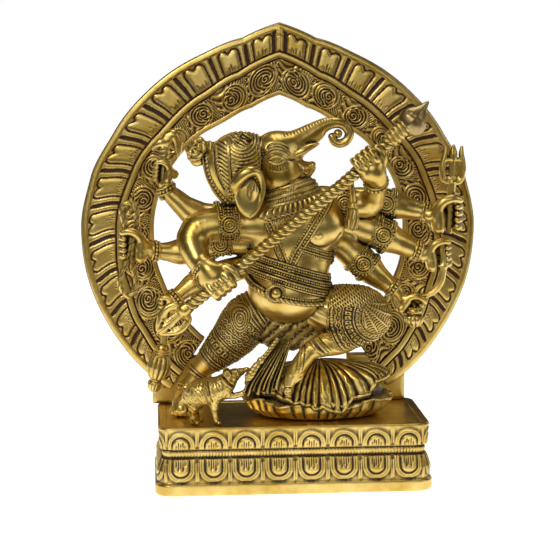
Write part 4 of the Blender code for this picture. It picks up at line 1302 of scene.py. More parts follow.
def head():
    """The elephant head, raised to the right, with its trunk curled over."""
    clay = Clay((-34, -40, 244), (66, 14, 318), 0.5)
    clay.ball((-8, -14, 281), (20, 17.5, 19.5))
    clay.ball((-4, -14, 266.5), (18, 18, 19.5), 6)
    clay.limb(((-6, -14, 284, 16), (5, -14, 288.5, 12.4), (14, -14, 294, 9.8), (24, -14, 300.6, 7.6),
               (33, -14, 305.8, 5.9), (40, -14, 307.8, 4.9), (46.5, -14, 307.4, 4.4),
               (51.8, -14, 304, 4.1), (54.2, -14, 298.6, 3.9), (52.0, -14, 293, 3.8),
               (46.6, -14, 290.4, 3.7), (41.6, -14, 292, 3.6), (39.6, -14, 296.2, 3.3)), 5, step=1.5)
    clay.ball((44.6, -14, 298.8), 3.7, 0.6)
    clay.limb(((2, -14, 283, 9.0), (12, -14, 286.5, 7.4), (20, -14, 292, 6.2), (28, -14, 298.5, 5.2)), 3)
    clay.limb(((0, -14, 266, 13), (11, -14, 267.2, 10), (17, -14, 268.6, 7.4),
               (21.4, -14, 270.2, 4.8)), 4)
    clay.ball((22.8, -14, 272.8), (3.2, 6.6, 2.8), 1.5, turn=(0, -30, 0))
    clay.limb(((4, -14, 277.6, 0.8), (12, -14, 277.2, 1.1), (19, -14, 278.2, 2.2),
               (27, -14, 281, 3.6)), 1.0, carve=True)
    for side in (-1, 1):
        clay.limb(((2, -14 + side * 16, 278.4, 0.7), (9, -14 + side * 12, 277.4, 1.2),
                   (16, -14 + side * 8, 277.4, 1.6)), 0.8, carve=True)
        clay.ball((-8.6, -14 + side * 16.3, 278.4), (6.2, 2.2, 2.6), 1.2)
        clay.ball((-8, -14 + side * 16.0, 284.2), (9.5, 3.4, 3.4), 3, turn=(0, 8, 0))
        clay.ball((13, -14 + side * 7.5, 285.2), (7.0, 4.2, 3.6), 2.5, turn=(0, -32, 0))
    lines = [([(-16, 277.2), (-12.5, 280), (-8, 281), (-3.6, 280), (-1.6, 277.6)], 0.6, 0.75),
             ([(-16, 277), (-12, 275.6), (-8, 275.2), (-4, 276), (-1.8, 277.4)], 0.55, 0.55),
             ([(-14, 277.6), (-10, 279.2), (-6, 279.2), (-3, 277.8)], 0.5, -0.7),
             ([(-14, 277.2), (-9, 276.4), (-4, 277)], 0.45, -0.5),
             ([(-10, 277.9), (-7.4, 277.9)], 0.8, -0.35)]
    for k, rise in enumerate((0.0, 2.3, 4.5, 6.6)):
        brow = [(-18 + 0.4 * k, 280.5 + rise), (-14, 284.2 + rise), (-8, 285.6 + rise),
                (-2, 284 + rise), (1.4, 281.6 + rise * 0.9)]
        lines.append((brow, 0.62, 0.85 if k < 3 else -0.6))
        if k < 3:
            lines.append(([(x, z + 1.15) for x, z in brow], 0.5, -0.6))
    for k in range(7):
        x = -13.6 + 2.0 * k
        drop = 4.6 - 0.35 * abs(k - 3)
        lines.append(([(x, 273.6), (x + 0.45 * (k - 2), 273.6 - drop)], 0.42, -0.6))
    for k in range(17):
        x = -1.0 + 2.5 * k
        top = np.interp(x, (-1, 10, 20, 30, 40), (299.6, 302.0, 306.4, 310.6, 312.2))
        lines.append(([(x, top), (x + 0.7, top - 2.3)], 0.4, -0.28))
    lines += [([(14.6, 267), (17.6, 264.4), (20, 266), (20.4, 269)], 0.8, -0.7),
              ([(11, 262), (13, 266), (12.4, 271), (9.5, 275.5)], 0.9, -0.45)]

    def relief(points, normals):
        near = strokes(points, normals, lines)
        far = strokes(points, normals, lines, facing=(0, 1, 0))
        return near + far + 0.05 * grain(*points.T, size=4.0)

    skin = Shape()
    skin.add(*clay.skin(relief))
    skin.piece("elephant_head", "figure_brass", ("head", "trunk"))

    tusks = Shape()
    ivory = Clay((4, -36, 276), (34, 8, 296), 0.45)
    for side in (-1, 1):
        ivory.limb(((7, -14 + side * 10, 281.6, 2.6), (13, -14 + side * 10.5, 284.8, 3.4),
                    (19, -14 + side * 9.6, 287.8, 3.1), (24.4, -14 + side * 8.6, 289.8, 2.0),
                    (27.4, -14 + side * 8.0, 290.6, 0.9)), 0.5)
    tusks.add(*ivory.skin())
    tusks.piece("tusks", "bright_brass", "tusk")


def ears():
    """Two fan ears, each with a rolled rim and a few creases."""
    for side, name in ((-1, "ear_near"), (1, "ear_far")):
        def deep(y):
            return -14 + side * (-14 - y)
        clay = Clay((-50, min(deep(-48), deep(-24)), 226), (-10, max(deep(-48), deep(-24)), 278), 0.5)
        clay.ball((-32.4, deep(-35), 249), (11.0, 4.2, 18.6), 2, turn=(0, -8, 0))
        clay.ball((-27, deep(-41.4), 256), (5.6, 4.6, 12.0), 1.5, turn=(0, 12, 0), carve=True)
        clay.limb(((-43.0, deep(-36), 253, 2.6), (-42.8, deep(-38), 259.0, 4.2),
                   (-38, deep(-40), 265.4, 4.8), (-31.6, deep(-41), 269.6, 4.5),
                   (-25, deep(-39.5), 269, 3.6), (-21, deep(-37.5), 262, 2.6),
                   (-19.8, deep(-36.5), 252, 2.0), (-22.4, deep(-36), 243, 1.7),
                   (-26.4, deep(-36), 236, 1.4), (-30.4, deep(-35.5), 231.8, 1.2)), 1.4)
        creases = []
        for k in range(5):
            creases.append(([(-29.5 + 1.2 * k, 263.5 - 0.5 * k),
                             (-34.5 + 2.4 * k, 257 - 1.3 * k + 0.4 * abs(k - 2))], 0.45, -0.4))

        def relief(points, normals):
            return strokes(points, normals, creases, facing=(0, side, 0))

        skin = Shape()
        skin.add(*clay.skin(relief))
        skin.piece(name + "_leaf", "figure_brass", name)


def headdress():
    """Wound hair under beaded bands, a rosette over the brow and a round bun behind."""
    clay = Clay((-74, -42, 232), (-8, 18, 306), 0.62)
    clay.ball((-37, -14, 282), (24.5, 20.5, 19.0))
    clay.ball((-41, -13, 264), (21.5, 19.5, 26), 8, turn=(0, -24, 0))
    clay.limb(((-48, -10, 258, 14), (-41, -8, 244, 10.5), (-36, -6, 235, 9)), 6)
    clay.ball((-54.5, -12, 272), (13.6, 15, 16.5), 6)
    for lobe in ((-41, -30, 296), (-35, -31, 292), (-33, -29, 298)):
        clay.ball(lobe, (4.2, 3.4, 3.4), 1.2, turn=(0, 30, 0))
    seam = ((-50, 297), (-49, 288), (-47.5, 276), (-46, 264), (-45, 256))
    lines = [(seam, 1.4, -1.2)]
    for k in range(13):
        z = 295 - 3.6 * k
        lines.append(([(-61.5 + 0.9 * k, z + 1.8), (-56 + 0.5 * k, z + 0.6), (-50.6 + 0.25 * k, z - 2.6)],
                      0.8, 0.95))
    for k in range(4):
        x = -46.5 + 5.2 * k
        lines.append(([(x - 2, 298.5), (x + 1, 296.5), (x + 2.6, 292.5)], 0.9, 0.9))

    def relief(points, normals):
        x, y, z = points.T
        swirl = np.hypot(x + 37, z - 296)
        rings = (0.5 + 0.5 * np.cos(WAVE * swirl / 2.9)) * smooth((swirl - 7) / 1)
        rings *= 0.35 + 0.65 * smooth((x + 38 + 0.25 * (296 - z)) / 5)
        area = smooth((x + 47.5) / 1.5)
        ticks = 0.5 + 0.5 * np.cos(30 * np.arctan2(z - 296, x + 37))
        kind = np.mod(np.floor(swirl / 2.9 + 0.5), 2)
        height = area * rings * (0.8 - 0.6 * (kind == 1) * ticks)
        height += 0.5 * area * smooth((7 - swirl) / 1) * np.cos(1.3 * x + 2.1 * z)
        back = smooth((y + 4) / 5)
        height = height * (1 - back) + back * (0.5 + 0.5 * np.cos((z + 0.5 * x) * 1.7)) * 0.8
        return height + strokes(points, normals, lines) * (1 - back)

    skin = Shape()
    skin.add(*clay.skin(relief))
    for shift, size in ((0.0, 1.15), (-3.0, 1.0), (-5.6, 0.8)):
        path = clay.ring((-19.5 + shift, -14, 281), (1.0, 0.02, 0.05), 34, 200, 5.0)
        bead_string(skin, path, size, True)
    for hang, size in ((((-65.4, 287), (-64.6, 272), (-60.8, 260), (-53.6, 249), (-46, 240.5)), 1.9),
                       (((-57.4, 288), (-56.4, 273), (-52, 260), (-46, 250), (-40, 243)), 1.6)):
        line = clay.front(curve(hang, 1.0))
        for mirror in (0, 1):
            path = line.copy()
            if mirror:
                path[:, 1] = -26 - path[:, 1]
            bead_string(skin, path, size, gap=1.65)
            rope(skin, path + (4.0, 0.3, 1.0), 1.45, sides=8)
            bead_string(skin, path + (-3.0, 0.9, -0.8), 0.9)
    skin.piece("headdress_hair", "chased_brass", "headdress")

    knot = Clay((-86, -24, 268), (-56, 6, 300), 0.5)
    knot.ball((-72, -10, 284), (10, 9.5, 11.5))
    knot.limb(((-64, -10, 286, 7), (-58, -11, 284, 8)), 2)

    def lobes(points, normals):
        x, y, z = points.T
        turn = np.arctan2(z - 288, x + 77)
        petal = np.abs(np.sin(2.6 * turn + 0.5 * y * 0.2)) ** 0.6
        return 1.5 * petal + 0.5 * np.cos(WAVE * np.hypot(x + 77, z - 288) / 5.0) - 0.6

    bun = Shape()
    bun.add(*knot.skin(lobes))
    bun.piece("hair_bun_coil", "chased_brass", "hair_bun")


# ---------------------------------------------------------------- arms and hands

ARMS = {
    "arm_front_right": {
        "upper": ((-20, -14, 222, 14), (-46, -15, 224, 14.5), (-70, -17, 221, 13.8), (-80, -19, 214, 10)),
        "fore": ((-76, -19, 218, 10), (-78, -24, 208, 12.4), (-74, -32, 197, 10.6),
                 (-70, -37, 191, 9.2), (-66, -40, 187, 8.4)),
        "band": 1.1, "wrist": 3.3},
    "arm_front_left": {
        "upper": ((34, -8, 240, 12), (52, -8, 240, 12), (68, -9, 238, 10.5), (75, -11, 240, 8)),
        "fore": ((73, -11, 239, 8.5), (75, -18, 247, 9.2), (75, -29, 258, 8.4), (72, -38, 265, 7.8)),
        "band": 0.9, "wrist": 2.2},
    "arm_back_right_upper": {
        "upper": ((-20, 8, 224, 11), (-45, 11, 228, 11.5), (-66, 12, 226, 11), (-76, 12, 230, 10)),
        "fore": ((-70, 12, 228, 10.5), (-80, 11, 233, 10), (-90, 10, 242, 8.6), (-98, 9, 250, 6.6),
                 (-100.5, 8, 256, 5.6)),
        "band": 1.2, "wrist": 3.3},
    "arm_back_right_middle": {
        "upper": ((-22, 12, 204, 10), (-48, 14, 205, 11), (-74, 14, 199, 10.5), (-86, 13, 197, 10)),
        "fore": ((-78, 14, 198, 10.5), (-90, 12, 197, 9.6), (-103, 9, 198, 7.4), (-113, 7, 199, 6.2),
                 (-118, 6, 200, 6)),
        "band": 1.2, "wrist": 2.6},
    "arm_back_right_lower": {
        "upper": ((-22, 12, 184, 10), (-46, 14, 180, 10.5), (-66, 12, 174, 9.5), (-76, 10, 169, 8.6)),
        "fore": ((-70, 11, 172, 9), (-80, 8, 167, 8.2), (-90, 4, 160, 7), (-96, 2, 155, 6)),
        "band": 2.2, "wrist": 2.4},
    "arm_back_left_upper": {
        "upper": ((36, 10, 232, 10), (60, 15, 239, 11.5), (84, 15, 238, 11.8), (96, 14, 236, 11)),
        "fore": ((86, 15, 238, 11.6), (98, 13, 235.6, 11), (112, 11, 232, 9), (123, 8, 230, 6.8),
                 (128, 7, 229, 6)),
        "swell": 1.5, "band": 2.45, "wrist": 3.2},
    "arm_back_left_middle": {
        "upper": ((34, 8, 216, 11), (55, 5, 221, 14), (73, 3, 217, 14.2), (88, 3, 210, 12.4)),
        "fore": ((76, 3, 215.5, 13.6), (91, 3, 208.5, 12), (105, 3, 202, 9.8), (115, 2, 198, 7.4),
                 (121, 2, 196, 6.4)),
        "swell": 1.5, "band": 2.7, "wrist": 3.2},
    "arm_back_left_lower": {
        "upper": ((34, 5, 204, 9), (50, 2, 203, 12.6), (62, 0, 193, 12.6), (72, -1, 184, 11.4)),
        "fore": ((66, 0, 190, 12.2), (76, -2, 180, 11), (86, -4, 172, 8.8), (93, -5, 167, 6.6),
                 (98, -5, 163, 6.2)),
        "swell": 1.5, "band": 2.55, "wrist": 3.1},
}


def local(origin, across, ahead, up, stations, size=1.0):
    """Stations given across, ahead and up from a grip, placed in the statue's frame."""
    rows = np.array(stations, float)
    places = (np.array(origin, float) + size * (rows[:, :1] * across + rows[:, 1:2] * ahead
                                                + rows[:, 2:3] * up))
    return np.hstack([places, rows[:, 3:] * size])


def axes_of(up, across):
    """Three square directions for a hand: across, ahead and up."""
    up = unit(np.array(up, float))
    across = np.array(across, float)
    across = unit(across - up * (across @ up))
    ahead = np.cross(up, across)
    if ahead[1] > 0:
        ahead = -ahead
    return across, ahead, up


def cupped_hand(clay, origin, up, across, size=1.0):
    """A hand that holds an upright shaft: thumb arched over it, four fingertips beyond it."""
    frame3 = axes_of(up, across)

    def press(stations, blend):
        clay.limb(local(origin, *frame3, stations, size), blend, step=1.2)

    press(((-17, -1, 0, 6.2), (-12, -0.5, 1, 7.0), (-9.4, 0.6, -3, 6.9), (-8.6, 2, -10.5, 5.8)), 3)
    press(((-9.6, 1.6, 0, 5.8), (-9.6, 3.6, 7, 4.9), (-5, 5.2, 13, 4.3), (2, 5.6, 15.4, 3.9),
           (8, 4.4, 14.4, 3.5)), 2.4)
    for k in range(4):
        w = 8.2 - 5.7 * k
        press(((-7, -5, w, 3.0), (0, -7.5, w, 3.0), (7, -5.5, w, 2.9), (9.4, 0, w, 2.9),
               (7.4, 4.2, w, 3.0)), 0.5)


def fist(clay, origin, up, across, size=1.0):
    """A hand closed over a shaft from one side, its fingers lying across the front."""
    frame3 = axes_of(up, across)

    def press(stations, blend):
        clay.limb(local(origin, *frame3, stations, size), blend, step=1.2)

    press(((-19, -1, -1, 8.0), (-13, 1.5, 0, 9.8), (-8, 3, 0, 9.6)), 3)
    press(((-8, 2, 6, 7.4), (-8, 2, -6, 7.4)), 4)
    for k in range(4):
        w = 8.4 - 5.6 * k
        press(((-6, 6.6, w * 0.92, 3.6), (-0.5, 9.6, w, 3.5), (5.4, 8.6, w, 3.3)), 0.7)
        press(((5.8, 8.2, w, 3.2), (8.6, 4.4, w, 3.1), (8.4, 0.5, w, 2.8)), 0.5)
    press(((-10, 2, 7, 5.0), (-7, 5, 13, 4.2), (-1, 7, 15.4, 3.7), (5, 6.4, 14.6, 3.3)), 1.6)


SPEAR_LINE = unit(np.array((0.77, -0.02, 0.62)))


def arms():
    """Eight arms, each with its hand, armband, bracelet and rings."""
    hands = {
        "arm_front_right": (fist, (-56.4, -41.6, 178), SPEAR_LINE, (0.63, 0, -0.77), 0.98),
        "arm_front_left": (fist, (64.5, -43.5, 277), SPEAR_LINE, (-0.64, 0, 0.77), 0.92),
        "arm_back_right_upper": (cupped_hand, (-102.4, 6, 265), (0.12, 0, 1), (-1, 0, 0.1), 0.62),
        "arm_back_right_middle": (cupped_hand, (-129, 4, 203), (0, 0, 1), (-1, 0, 0), 0.88),
        "arm_back_right_lower": (cupped_hand, (-99.4, 1, 150), (0.08, 0, 1), (-1, 0, -0.3), 0.62),
        "arm_back_left_upper": (cupped_hand, (142.6, 2.5, 227), (0.03, 0, 1), (1, 0, 0), 1.0),
        "arm_back_left_middle": (cupped_hand, (135, 0, 193), (-0.05, 0, 1), (1, 0, -0.12), 0.84),
        "arm_back_left_lower": (cupped_hand, (110, -7, 150), (0.62, 0, 0.78), (0.78, 0, -0.62), 0.7),
    }
    for name, parts in ARMS.items():
        grip, origin, up, across, size = hands[name]
        upper, fore = np.array(parts["upper"], float), np.array(parts["fore"], float)
        origin = np.array(origin, float)
        every = np.vstack([upper[:, :3], fore[:, :3], origin - 21 * size, origin + 21 * size])
        clay = Clay(every.min(0) - 16, every.max(0) + 16, 0.62)
        clay.limb(upper, 2)
        clay.limb(fore, 6)
        grip(clay, origin, up, across, size)
        crease = chart_crease(parts)

        def relief(points, normals):
            return 0.05 * grain(*points.T, size=4.0) + crease(points)

        skin = Shape()
        skin.add(*clay.skin(relief))
        arm_bands(skin, parts)
        finger_rings(skin, grip, origin, axes_of(up, across), size)
        skin.piece(name + "_cast", "figure_brass", name)


def chart_crease(parts):
    """A faint fold where the elbow bends."""
    elbow = (np.array(parts["upper"][-1]) + np.array(parts["fore"][0]))[:3] / 2

    def crease(points):
        return -0.25 * bell(np.linalg.norm(points - elbow, axis=1) - 6, 2.0)
    return crease


def station_ring(stations, where, grow=0.4):
    """A ring round a limb at a place given as a station number and part."""
    path = curve(stations, 1.0)
    knots = np.array(stations, float)
    k = min(int(where), len(knots) - 2)
    point = knots[k] + (where - k) * (knots[k + 1] - knots[k])
    i = int(np.argmin(np.linalg.norm(path[:, :3] - point[:3], axis=1)))
    i = min(max(i, 1), len(path) - 2)
    heading = unit(path[i + 1, :3] - path[i - 1, :3])
    side = unit(np.cross(heading, (0.0, 1.0, 0.15)))
    up = np.cross(side, heading)
    turn = np.linspace(0, 2 * np.pi, 72, endpoint=False)[:, None]
    ring = np.cos(turn) * side + np.sin(turn) * up
    return path[i, :3], heading, ring, path[i, 3] + grow


def arm_bands(shape, parts):
    """An armband with a spiral plaque, and a beaded bracelet."""
    centre, heading, ring, radius = station_ring(parts["upper"], parts["band"], parts.get("swell", 0.4))
    for shift in (-6.4, 6.4):
        bead_string(shape, centre + heading * shift + ring * (radius + 0.4), 1.35, True)
    for shift in (-8.4, -4.4, 4.4, 8.4):
        rope(shape, centre + heading * shift + ring * (radius + 0.1), 0.95, True, 8)
    front = int(np.argmin(ring[:, 1]))
    face = centre + ring[front] * (radius + 0.3)
    out = ring[front]
    side = unit(np.cross(out, heading))
    turn = np.linspace(0, 2 * np.pi, 60, endpoint=False)[:, None]
    circle = np.cos(turn) * heading + np.sin(turn) * side
    for reach, size, rise in ((2.6, 0.8, 1.3), (4.8, 0.9, 1.0), (7.2, 1.0, 0.2)):
        rope(shape, face + out * rise + circle * reach, size, True, 8)
    beads(shape, face + out * 0.5, 2.0)
    beads(shape, spaced(face + out * 0.8 + circle * 3.7, 1.9, True), 0.8)
    beads(shape, spaced(face + out * 0.2 + circle * 8.8, 2.6, True), 1.15)
    for k in (-12, -9, 9, 12):
        place = centre + ring[(front + k) % len(ring)] * (radius + 0.3)
        beads(shape, (place, place + heading * 2.6, place - heading * 2.6), (1.7, 1.1, 1.1))
    centre, heading, ring, radius = station_ring(parts["fore"], parts["wrist"], 0.3)
    bead_string(shape, centre + ring * (radius + 1.1), 1.65, True)
    rope(shape, centre + heading * -2.6 + ring * (radius + 0.5), 1.25, True, 8)
    rope(shape, centre + heading * 2.6 + ring * (radius + 0.4), 1.25, True, 8)


def finger_rings(shape, grip, origin, frame3, size):
    """A small ring on every finger."""
    across, ahead, up = frame3
    for k in range(4):
        if grip is fist:
            middle = np.array((2.0, 9.3, 8.4 - 5.6 * k))
            radius = 3.6
        else:
            middle = np.array((9.3, 0.4, 8.2 - 5.7 * k))
            radius = 3.05
        place = origin + size * (middle[0] * across + middle[1] * ahead + middle[2] * up)
        turn = np.linspace(0, 2 * np.pi, 28, endpoint=False)[:, None]
        if grip is fist:
            ring = np.cos(turn) * ahead + np.sin(turn) * up
        else:
            ring = np.cos(turn) * across + np.sin(turn) * up
        rope(shape, place + ring * radius * size, 0.55, True, 6)


# ---------------------------------------------------------------- what the hands hold

def spear():
    """The twisted shaft that crosses the body, its ferrule and blade."""
    shaft = Shape()
    line = curve(((-84, -38, 156), (-20, -43, 207), (45, -45, 259), (84, -43, 294)), 1.0)
    rope(shaft, line, 5.4, sides=36, twist=5.4, depth=1.2, strands=3, step=0.5)
    shaft.piece("spear_rope_shaft", "bright_brass", "spear_twisted_shaft")

    ferrule = Shape()
    start, end = np.array((83.5, -42.9, 293.6)), np.array((97.5, -42, 307.4))
    fraction = np.linspace(0, 1, 70)
    radius = 5.0 + 1.5 * np.abs(np.sin(fraction * np.pi * 5.0)) ** 0.7 + 1.2 * np.sin(fraction * np.pi)
    path = np.hstack([start + fraction[:, None] * (end - start), radius[:, None]])
    rope(ferrule, path, 5, sides=30, step=0.35)
    ferrule.piece("spear_ringed_ferrule", "chased_brass", "spear_ferrule")

    clay = Clay((84, -60, 290), (126, -28, 334), 0.5)
    clay.ball((102.6, -41.8, 309.4), (12.4, 6.4, 10.6), 2, turn=(0, 52, 0))
    clay.limb(((103, -41.6, 311, 8.2), (108.6, -41.3, 317.6, 5.6), (112.8, -41, 322.4, 3.0),
               (115.4, -41, 325.4, 1.2)), 5)
    clay.limb(((96, -42, 306, 5.2), (99, -42, 309, 6)), 2)
    rib = [([(97, 306), (104, 313), (110, 319.5), (115, 325)], 1.6, 0.45)]

    def relief(points, normals):
        return (strokes(points, normals, rib) + strokes(points, normals, rib, (0, 1, 0))
                + 0.08 * grain(*points.T, size=2.5))

    blade = Shape()
    blade.add(*clay.skin(relief))
    blade.piece("spear_bud_blade", "blade_brass", "spear_blade")


def trident_shape(root, tip, width, thickness, flare=0.68):
    """A closed trident: three points joined by a rolled rim, with two slots between them."""
    root, tip = np.array(root, float), np.array(tip, float)
    length = np.linalg.norm(tip - root)
    up = unit(tip - root)
    across = unit(np.cross(up, (0.0, 1.0, 0.0)))
    ahead = np.cross(across, up)
    half = width / 2
    low = np.minimum(root, tip) - width
    clay = Clay(low, np.maximum(root, tip) + width, 0.42)

    def press(stations, blend=0.8, carve=False):
        clay.limb(local(root, across, ahead, up, stations), blend, carve, step=1.0)

    rim = thickness * 0.46
    for level in (0.1, 0.24, 0.38, 0.52, 0.62):
        press(((-half * 0.62, 0, length * level, rim * 0.7), (half * 0.62, 0, length * level, rim * 0.7)), 4)
    for side in (-1, 1):
        press(((side * half * 0.16, 0, 0, rim * 1.2), (side * half * 0.66, 0, length * 0.05, rim),
               (side * half * 0.86, 0, length * 0.3, rim * 1.05),
               (side * half * 0.80, 0, length * 0.56, rim),
               (side * half * min(0.66, flare + 0.28), 0, length * 0.78, rim * 0.9),
               (side * half * flare, 0, length * 0.97, rim * 0.5)))
    press(((0, 0, -1, rim * 1.3), (0, 0, length * 0.3, rim * 1.1), (0, 0, length * 0.66, rim * 1.3),
           (0, 0, length * 0.8, rim * 1.35), (0, 0, length, rim * 0.5)))
    for side in (-1, 1):
        press(((side * half * 0.38, 0, length * 0.20, 1.5), (side * half * 0.44, 0, length * 0.34, 2.0),
               (side * half * 0.36, 0, length * 0.50, 0.9)), 0.6, True)
        for depth in (-6, 6):
            press(((side * half * 0.38, depth, length * 0.16, 5.4),
                   (side * half * 0.40, depth, length * 0.54, 5.0)), 0.5, True)
    shape = Shape()

    def relief(points, normals):
        place = (points - root) @ np.stack([across, ahead, up], axis=-1)
        groove = bell(np.abs(place[:, 0]), 0.5) * smooth((place[:, 2] - 2) / 2)
        return -0.35 * groove * (np.abs(place[:, 1]) > rim * 0.5) + 0.05 * grain(*points.T, size=2.0)

    shape.add(*clay.skin(relief))
    return shape


def weapons():
    """What the other hands hold."""
    butt = trident_shape((-86.5, -37.6, 154), (-107, -36, 136), 25, 6.0, flare=0.2)
    rope(butt, curve(((-82, -38, 158, 5.6), (-86, -37.7, 154.6, 6.4), (-89, -37.5, 152, 5.0)), 0.6), 5,
         sides=24, step=0.5)
    butt.piece("spear_butt_fork", "bright_brass", "spear_butt_trident")

    staff = trident_shape((145, 2, 256), (146, 2, 287), 21, 5.6)
    rope(staff, curve(((143.2, 2.4, 212, 2.6), (144, 2.2, 235, 3.3), (144.6, 2, 250, 3.6),
                       (145, 2, 257, 4.2)), 1.0), 3.4, sides=20, step=0.8)
    rope(staff, curve(((140.2, 2, 256.5), (145, -1.4, 256), (149.8, 2, 256.5)), 0.8), 1.1, sides=8)
    staff.piece("staff_fork", "bright_brass", "staff_trident")

    goad = Shape()
    hook = Clay((-118, -2, 238), (-80, 18, 306), 0.42)
    hook.limb(((-102.6, 7, 244, 2.6), (-101.6, 7, 262, 3.0), (-100, 7, 280, 3.4), (-98, 7, 296, 4.0)), 1)
    hook.limb(((-98, 7, 293, 5), (-93, 7, 297, 5.2), (-89.5, 7, 292, 4.2), (-88.5, 7, 284, 3.0),
               (-89.5, 7, 279, 1.6)), 2, step=1.2)
    hook.limb(((-98, 7, 292, 4.6), (-104, 7, 290.4, 4.0), (-108, 7, 288, 2.4), (-110, 7, 285, 1.0)), 2,
              step=1.2)
    goad.add(*hook.skin())
    for z in (276, 280, 284):
        turn = np.linspace(0, 2 * np.pi, 30, endpoint=False)
        ring = np.stack([-100.2 + 4.1 * np.cos(turn), 7 + 4.1 * np.sin(turn), z + 0 * turn], axis=-1)
        rope(goad, ring, 0.8, True, 8)
    goad.piece("goad_hook", "figure_brass", "goad")

    cord = Shape()
    loop = curve(((-124, 3, 224), (-125, 2.4, 236), (-131, 2, 240.6), (-137, 2.4, 235),
                  (-134.4, 3, 222), (-129.4, 3, 208), (-135, 3, 188), (-139.4, 3, 172),
                  (-132, 2.6, 160.6), (-125.4, 3, 171), (-129, 3, 190), (-127, 3, 208)), 0.8, True)
    rope(cord, loop, 2.4, True, 14, twist=7.0, depth=0.3)
    beads(cord, ((-131, 0.4, 232),), 2.6)
    cord.piece("noose_cord", "figure_brass", "noose")

    mace_form = Shape()
    root, tip = np.array((-112.6, 0, 77.0)), np.array((-102.5, 1, 119.0))
    ahead, side, up = (v[0] for v in frames(np.array([root, tip])))
    profile = np.array(((0.0, 0.6), (1.5, 3.6), (4.0, 5.6), (7.0, 6.4), (9.5, 6.0), (10.5, 4.8),
                        (11.5, 4.9), (13.5, 7.4), (17.0, 9.2), (22.0, 10.2), (27.0, 9.8), (31.0, 8.8),
                        (33.0, 7.2), (34.2, 6.4), (35.4, 7.8), (36.8, 6.6), (38.0, 7.8), (39.4, 6.2),
                        (42.0, 5.0), (43.2, 0.6)))
    level = np.linspace(0, 43.2, 120)
    width = np.interp(level, *profile.T)
    turn = np.linspace(0, 2 * np.pi, 96, endpoint=False)[None, :]
    flutes = np.abs(np.cos(5.5 * turn)) ** 0.7
    body = smooth((level - 11.5) / 2)[:, None] * smooth((33 - level) / 2)[:, None]
    knob = smooth((9.5 - level) / 2)[:, None]
    radius = width[:, None] * (1 - 0.17 * body * (1 - flutes) - 0.1 * knob * (1 - flutes))
    rings = (root + ahead * level[:, None])[:, None, :] + radius[..., None] * (
        np.cos(turn)[..., None] * side + np.sin(turn)[..., None] * up)
    patina_and_shade_level = np.clip(0.85 * (1 - smooth(flutes * 1.7)) * (body + knob), 0, 1)
    mace_form.loops(rings, patina_and_shade_level)
    rope(mace_form, curve(((-102.8, 1, 117, 3.2), (-100.5, 1.4, 140, 3.2), (-99, 2, 161, 3.4)), 1.0), 3.2,
         sides=18, step=1.0)
    mace_form.piece("mace_fluted", "chased_brass", "mace")

    sword = Shape()
    clay = Clay((108, -12, 150), (146, 8, 212), 0.42)
    clay.limb(((136, -3, 206, 2.6), (137.6, -3, 192, 2.8), (138, -3, 184, 3.4)), 1)
    clay.limb(((137.6, -3, 184, 3.3), (136, -3, 172, 3.4), (131, -3, 164, 3.3), (123, -3, 159, 2.6),
               (114, -3, 156.6, 0.9)), 1.5)
    clay.ball((138, -3, 184.6), (6, 3.4, 1.8), 1)
    spine = [([(138.6, 180), (136.6, 171), (131, 163.4), (122, 158.8)], 0.7, 0.6),
             ([(135.8, 180), (134, 172.4), (129.6, 166), (121, 160.6)], 0.5, -0.4)]
    sword.add(*clay.skin(lambda points, normals: strokes(points, normals, spine)))
    sword.piece("sword_curved", "bright_brass", "curved_sword")

    sweets = Shape()
    clay = Clay((100, -22, 128), (124, 4, 154), 0.42)
    clay.ball((112, -8.6, 139.4), (7.8, 7.6, 6.6))
    clay.ball((112, -8.6, 146.2), (6.6, 6.4, 4.0), 0.8)

    def petals(points, normals):
        x, y, z = points.T
        turn = np.arctan2(y + 8.6, x - 112)
        return 0.7 * np.abs(np.cos(5 * turn)) * smooth((143 - z) / 2) - 0.6 * bell(z - 143.4, 0.6)

    sweets.add(*clay.skin(petals))
    turn = np.linspace(0, 2 * np.pi, 12, endpoint=False)
    beads(sweets, np.stack([112 + 4.4 * np.cos(turn), -8.6 + 4.4 * np.sin(turn), 148.4 + 0 * turn],
                           axis=-1), 1.5)
    beads(sweets, ((112, -8.6, 149.6),), 2.2)
    sweets.piece("sweet_bowl", "figure_brass", "sweet")

    tassel = Shape()
    level = np.linspace(0, 1, 60)
    profile = np.interp(level, (0, 0.06, 0.2, 0.26, 0.3, 0.6, 0.9, 1.0),
                        (0.5, 3.6, 4.4, 3.0, 5.0, 5.8, 4.4, 0.5))
    turn = np.linspace(0, 2 * np.pi, 48, endpoint=False)[None, :]
    spin = np.abs(np.cos(4 * turn + 5 * level[:, None]))
    radius = profile[:, None] * (1 - 0.16 * (1 - spin) * (level[:, None] > 0.3))
    rings = np.stack([55.5 + radius * np.cos(turn), -29 + radius * np.sin(turn),
                      243.5 - 25 * level[:, None] + 0 * turn], axis=-1)
    tassel.loops(rings, np.clip(0.8 * (1 - smooth(spin * 1.7)) * (level[:, None] > 0.3), 0, 1))
    rope(tassel, curve(((53.5, -32, 260, 2.4), (54.6, -31, 251, 2.6), (55.5, -29, 243, 2.8)), 1.0), 1.8,
         sides=12)
    tassel.piece("tassel_ribbed", "bright_brass", "hanging_tassel")


# ---------------------------------------------------------------- seat, sash and mouse

HEM = ((-34, 87), (-29, 82), (-24, 84), (-18, 81), (-10, 82), (-3, 77.5), (2, 77), (6.6, 73.6),
       (11, 75.5), (16, 72.5), (20, 73), (23, 69), (30, 71.5), (36, 68), (46, 65.5), (55, 78),
       (69, 79), (76, 89), (88, 90.5))


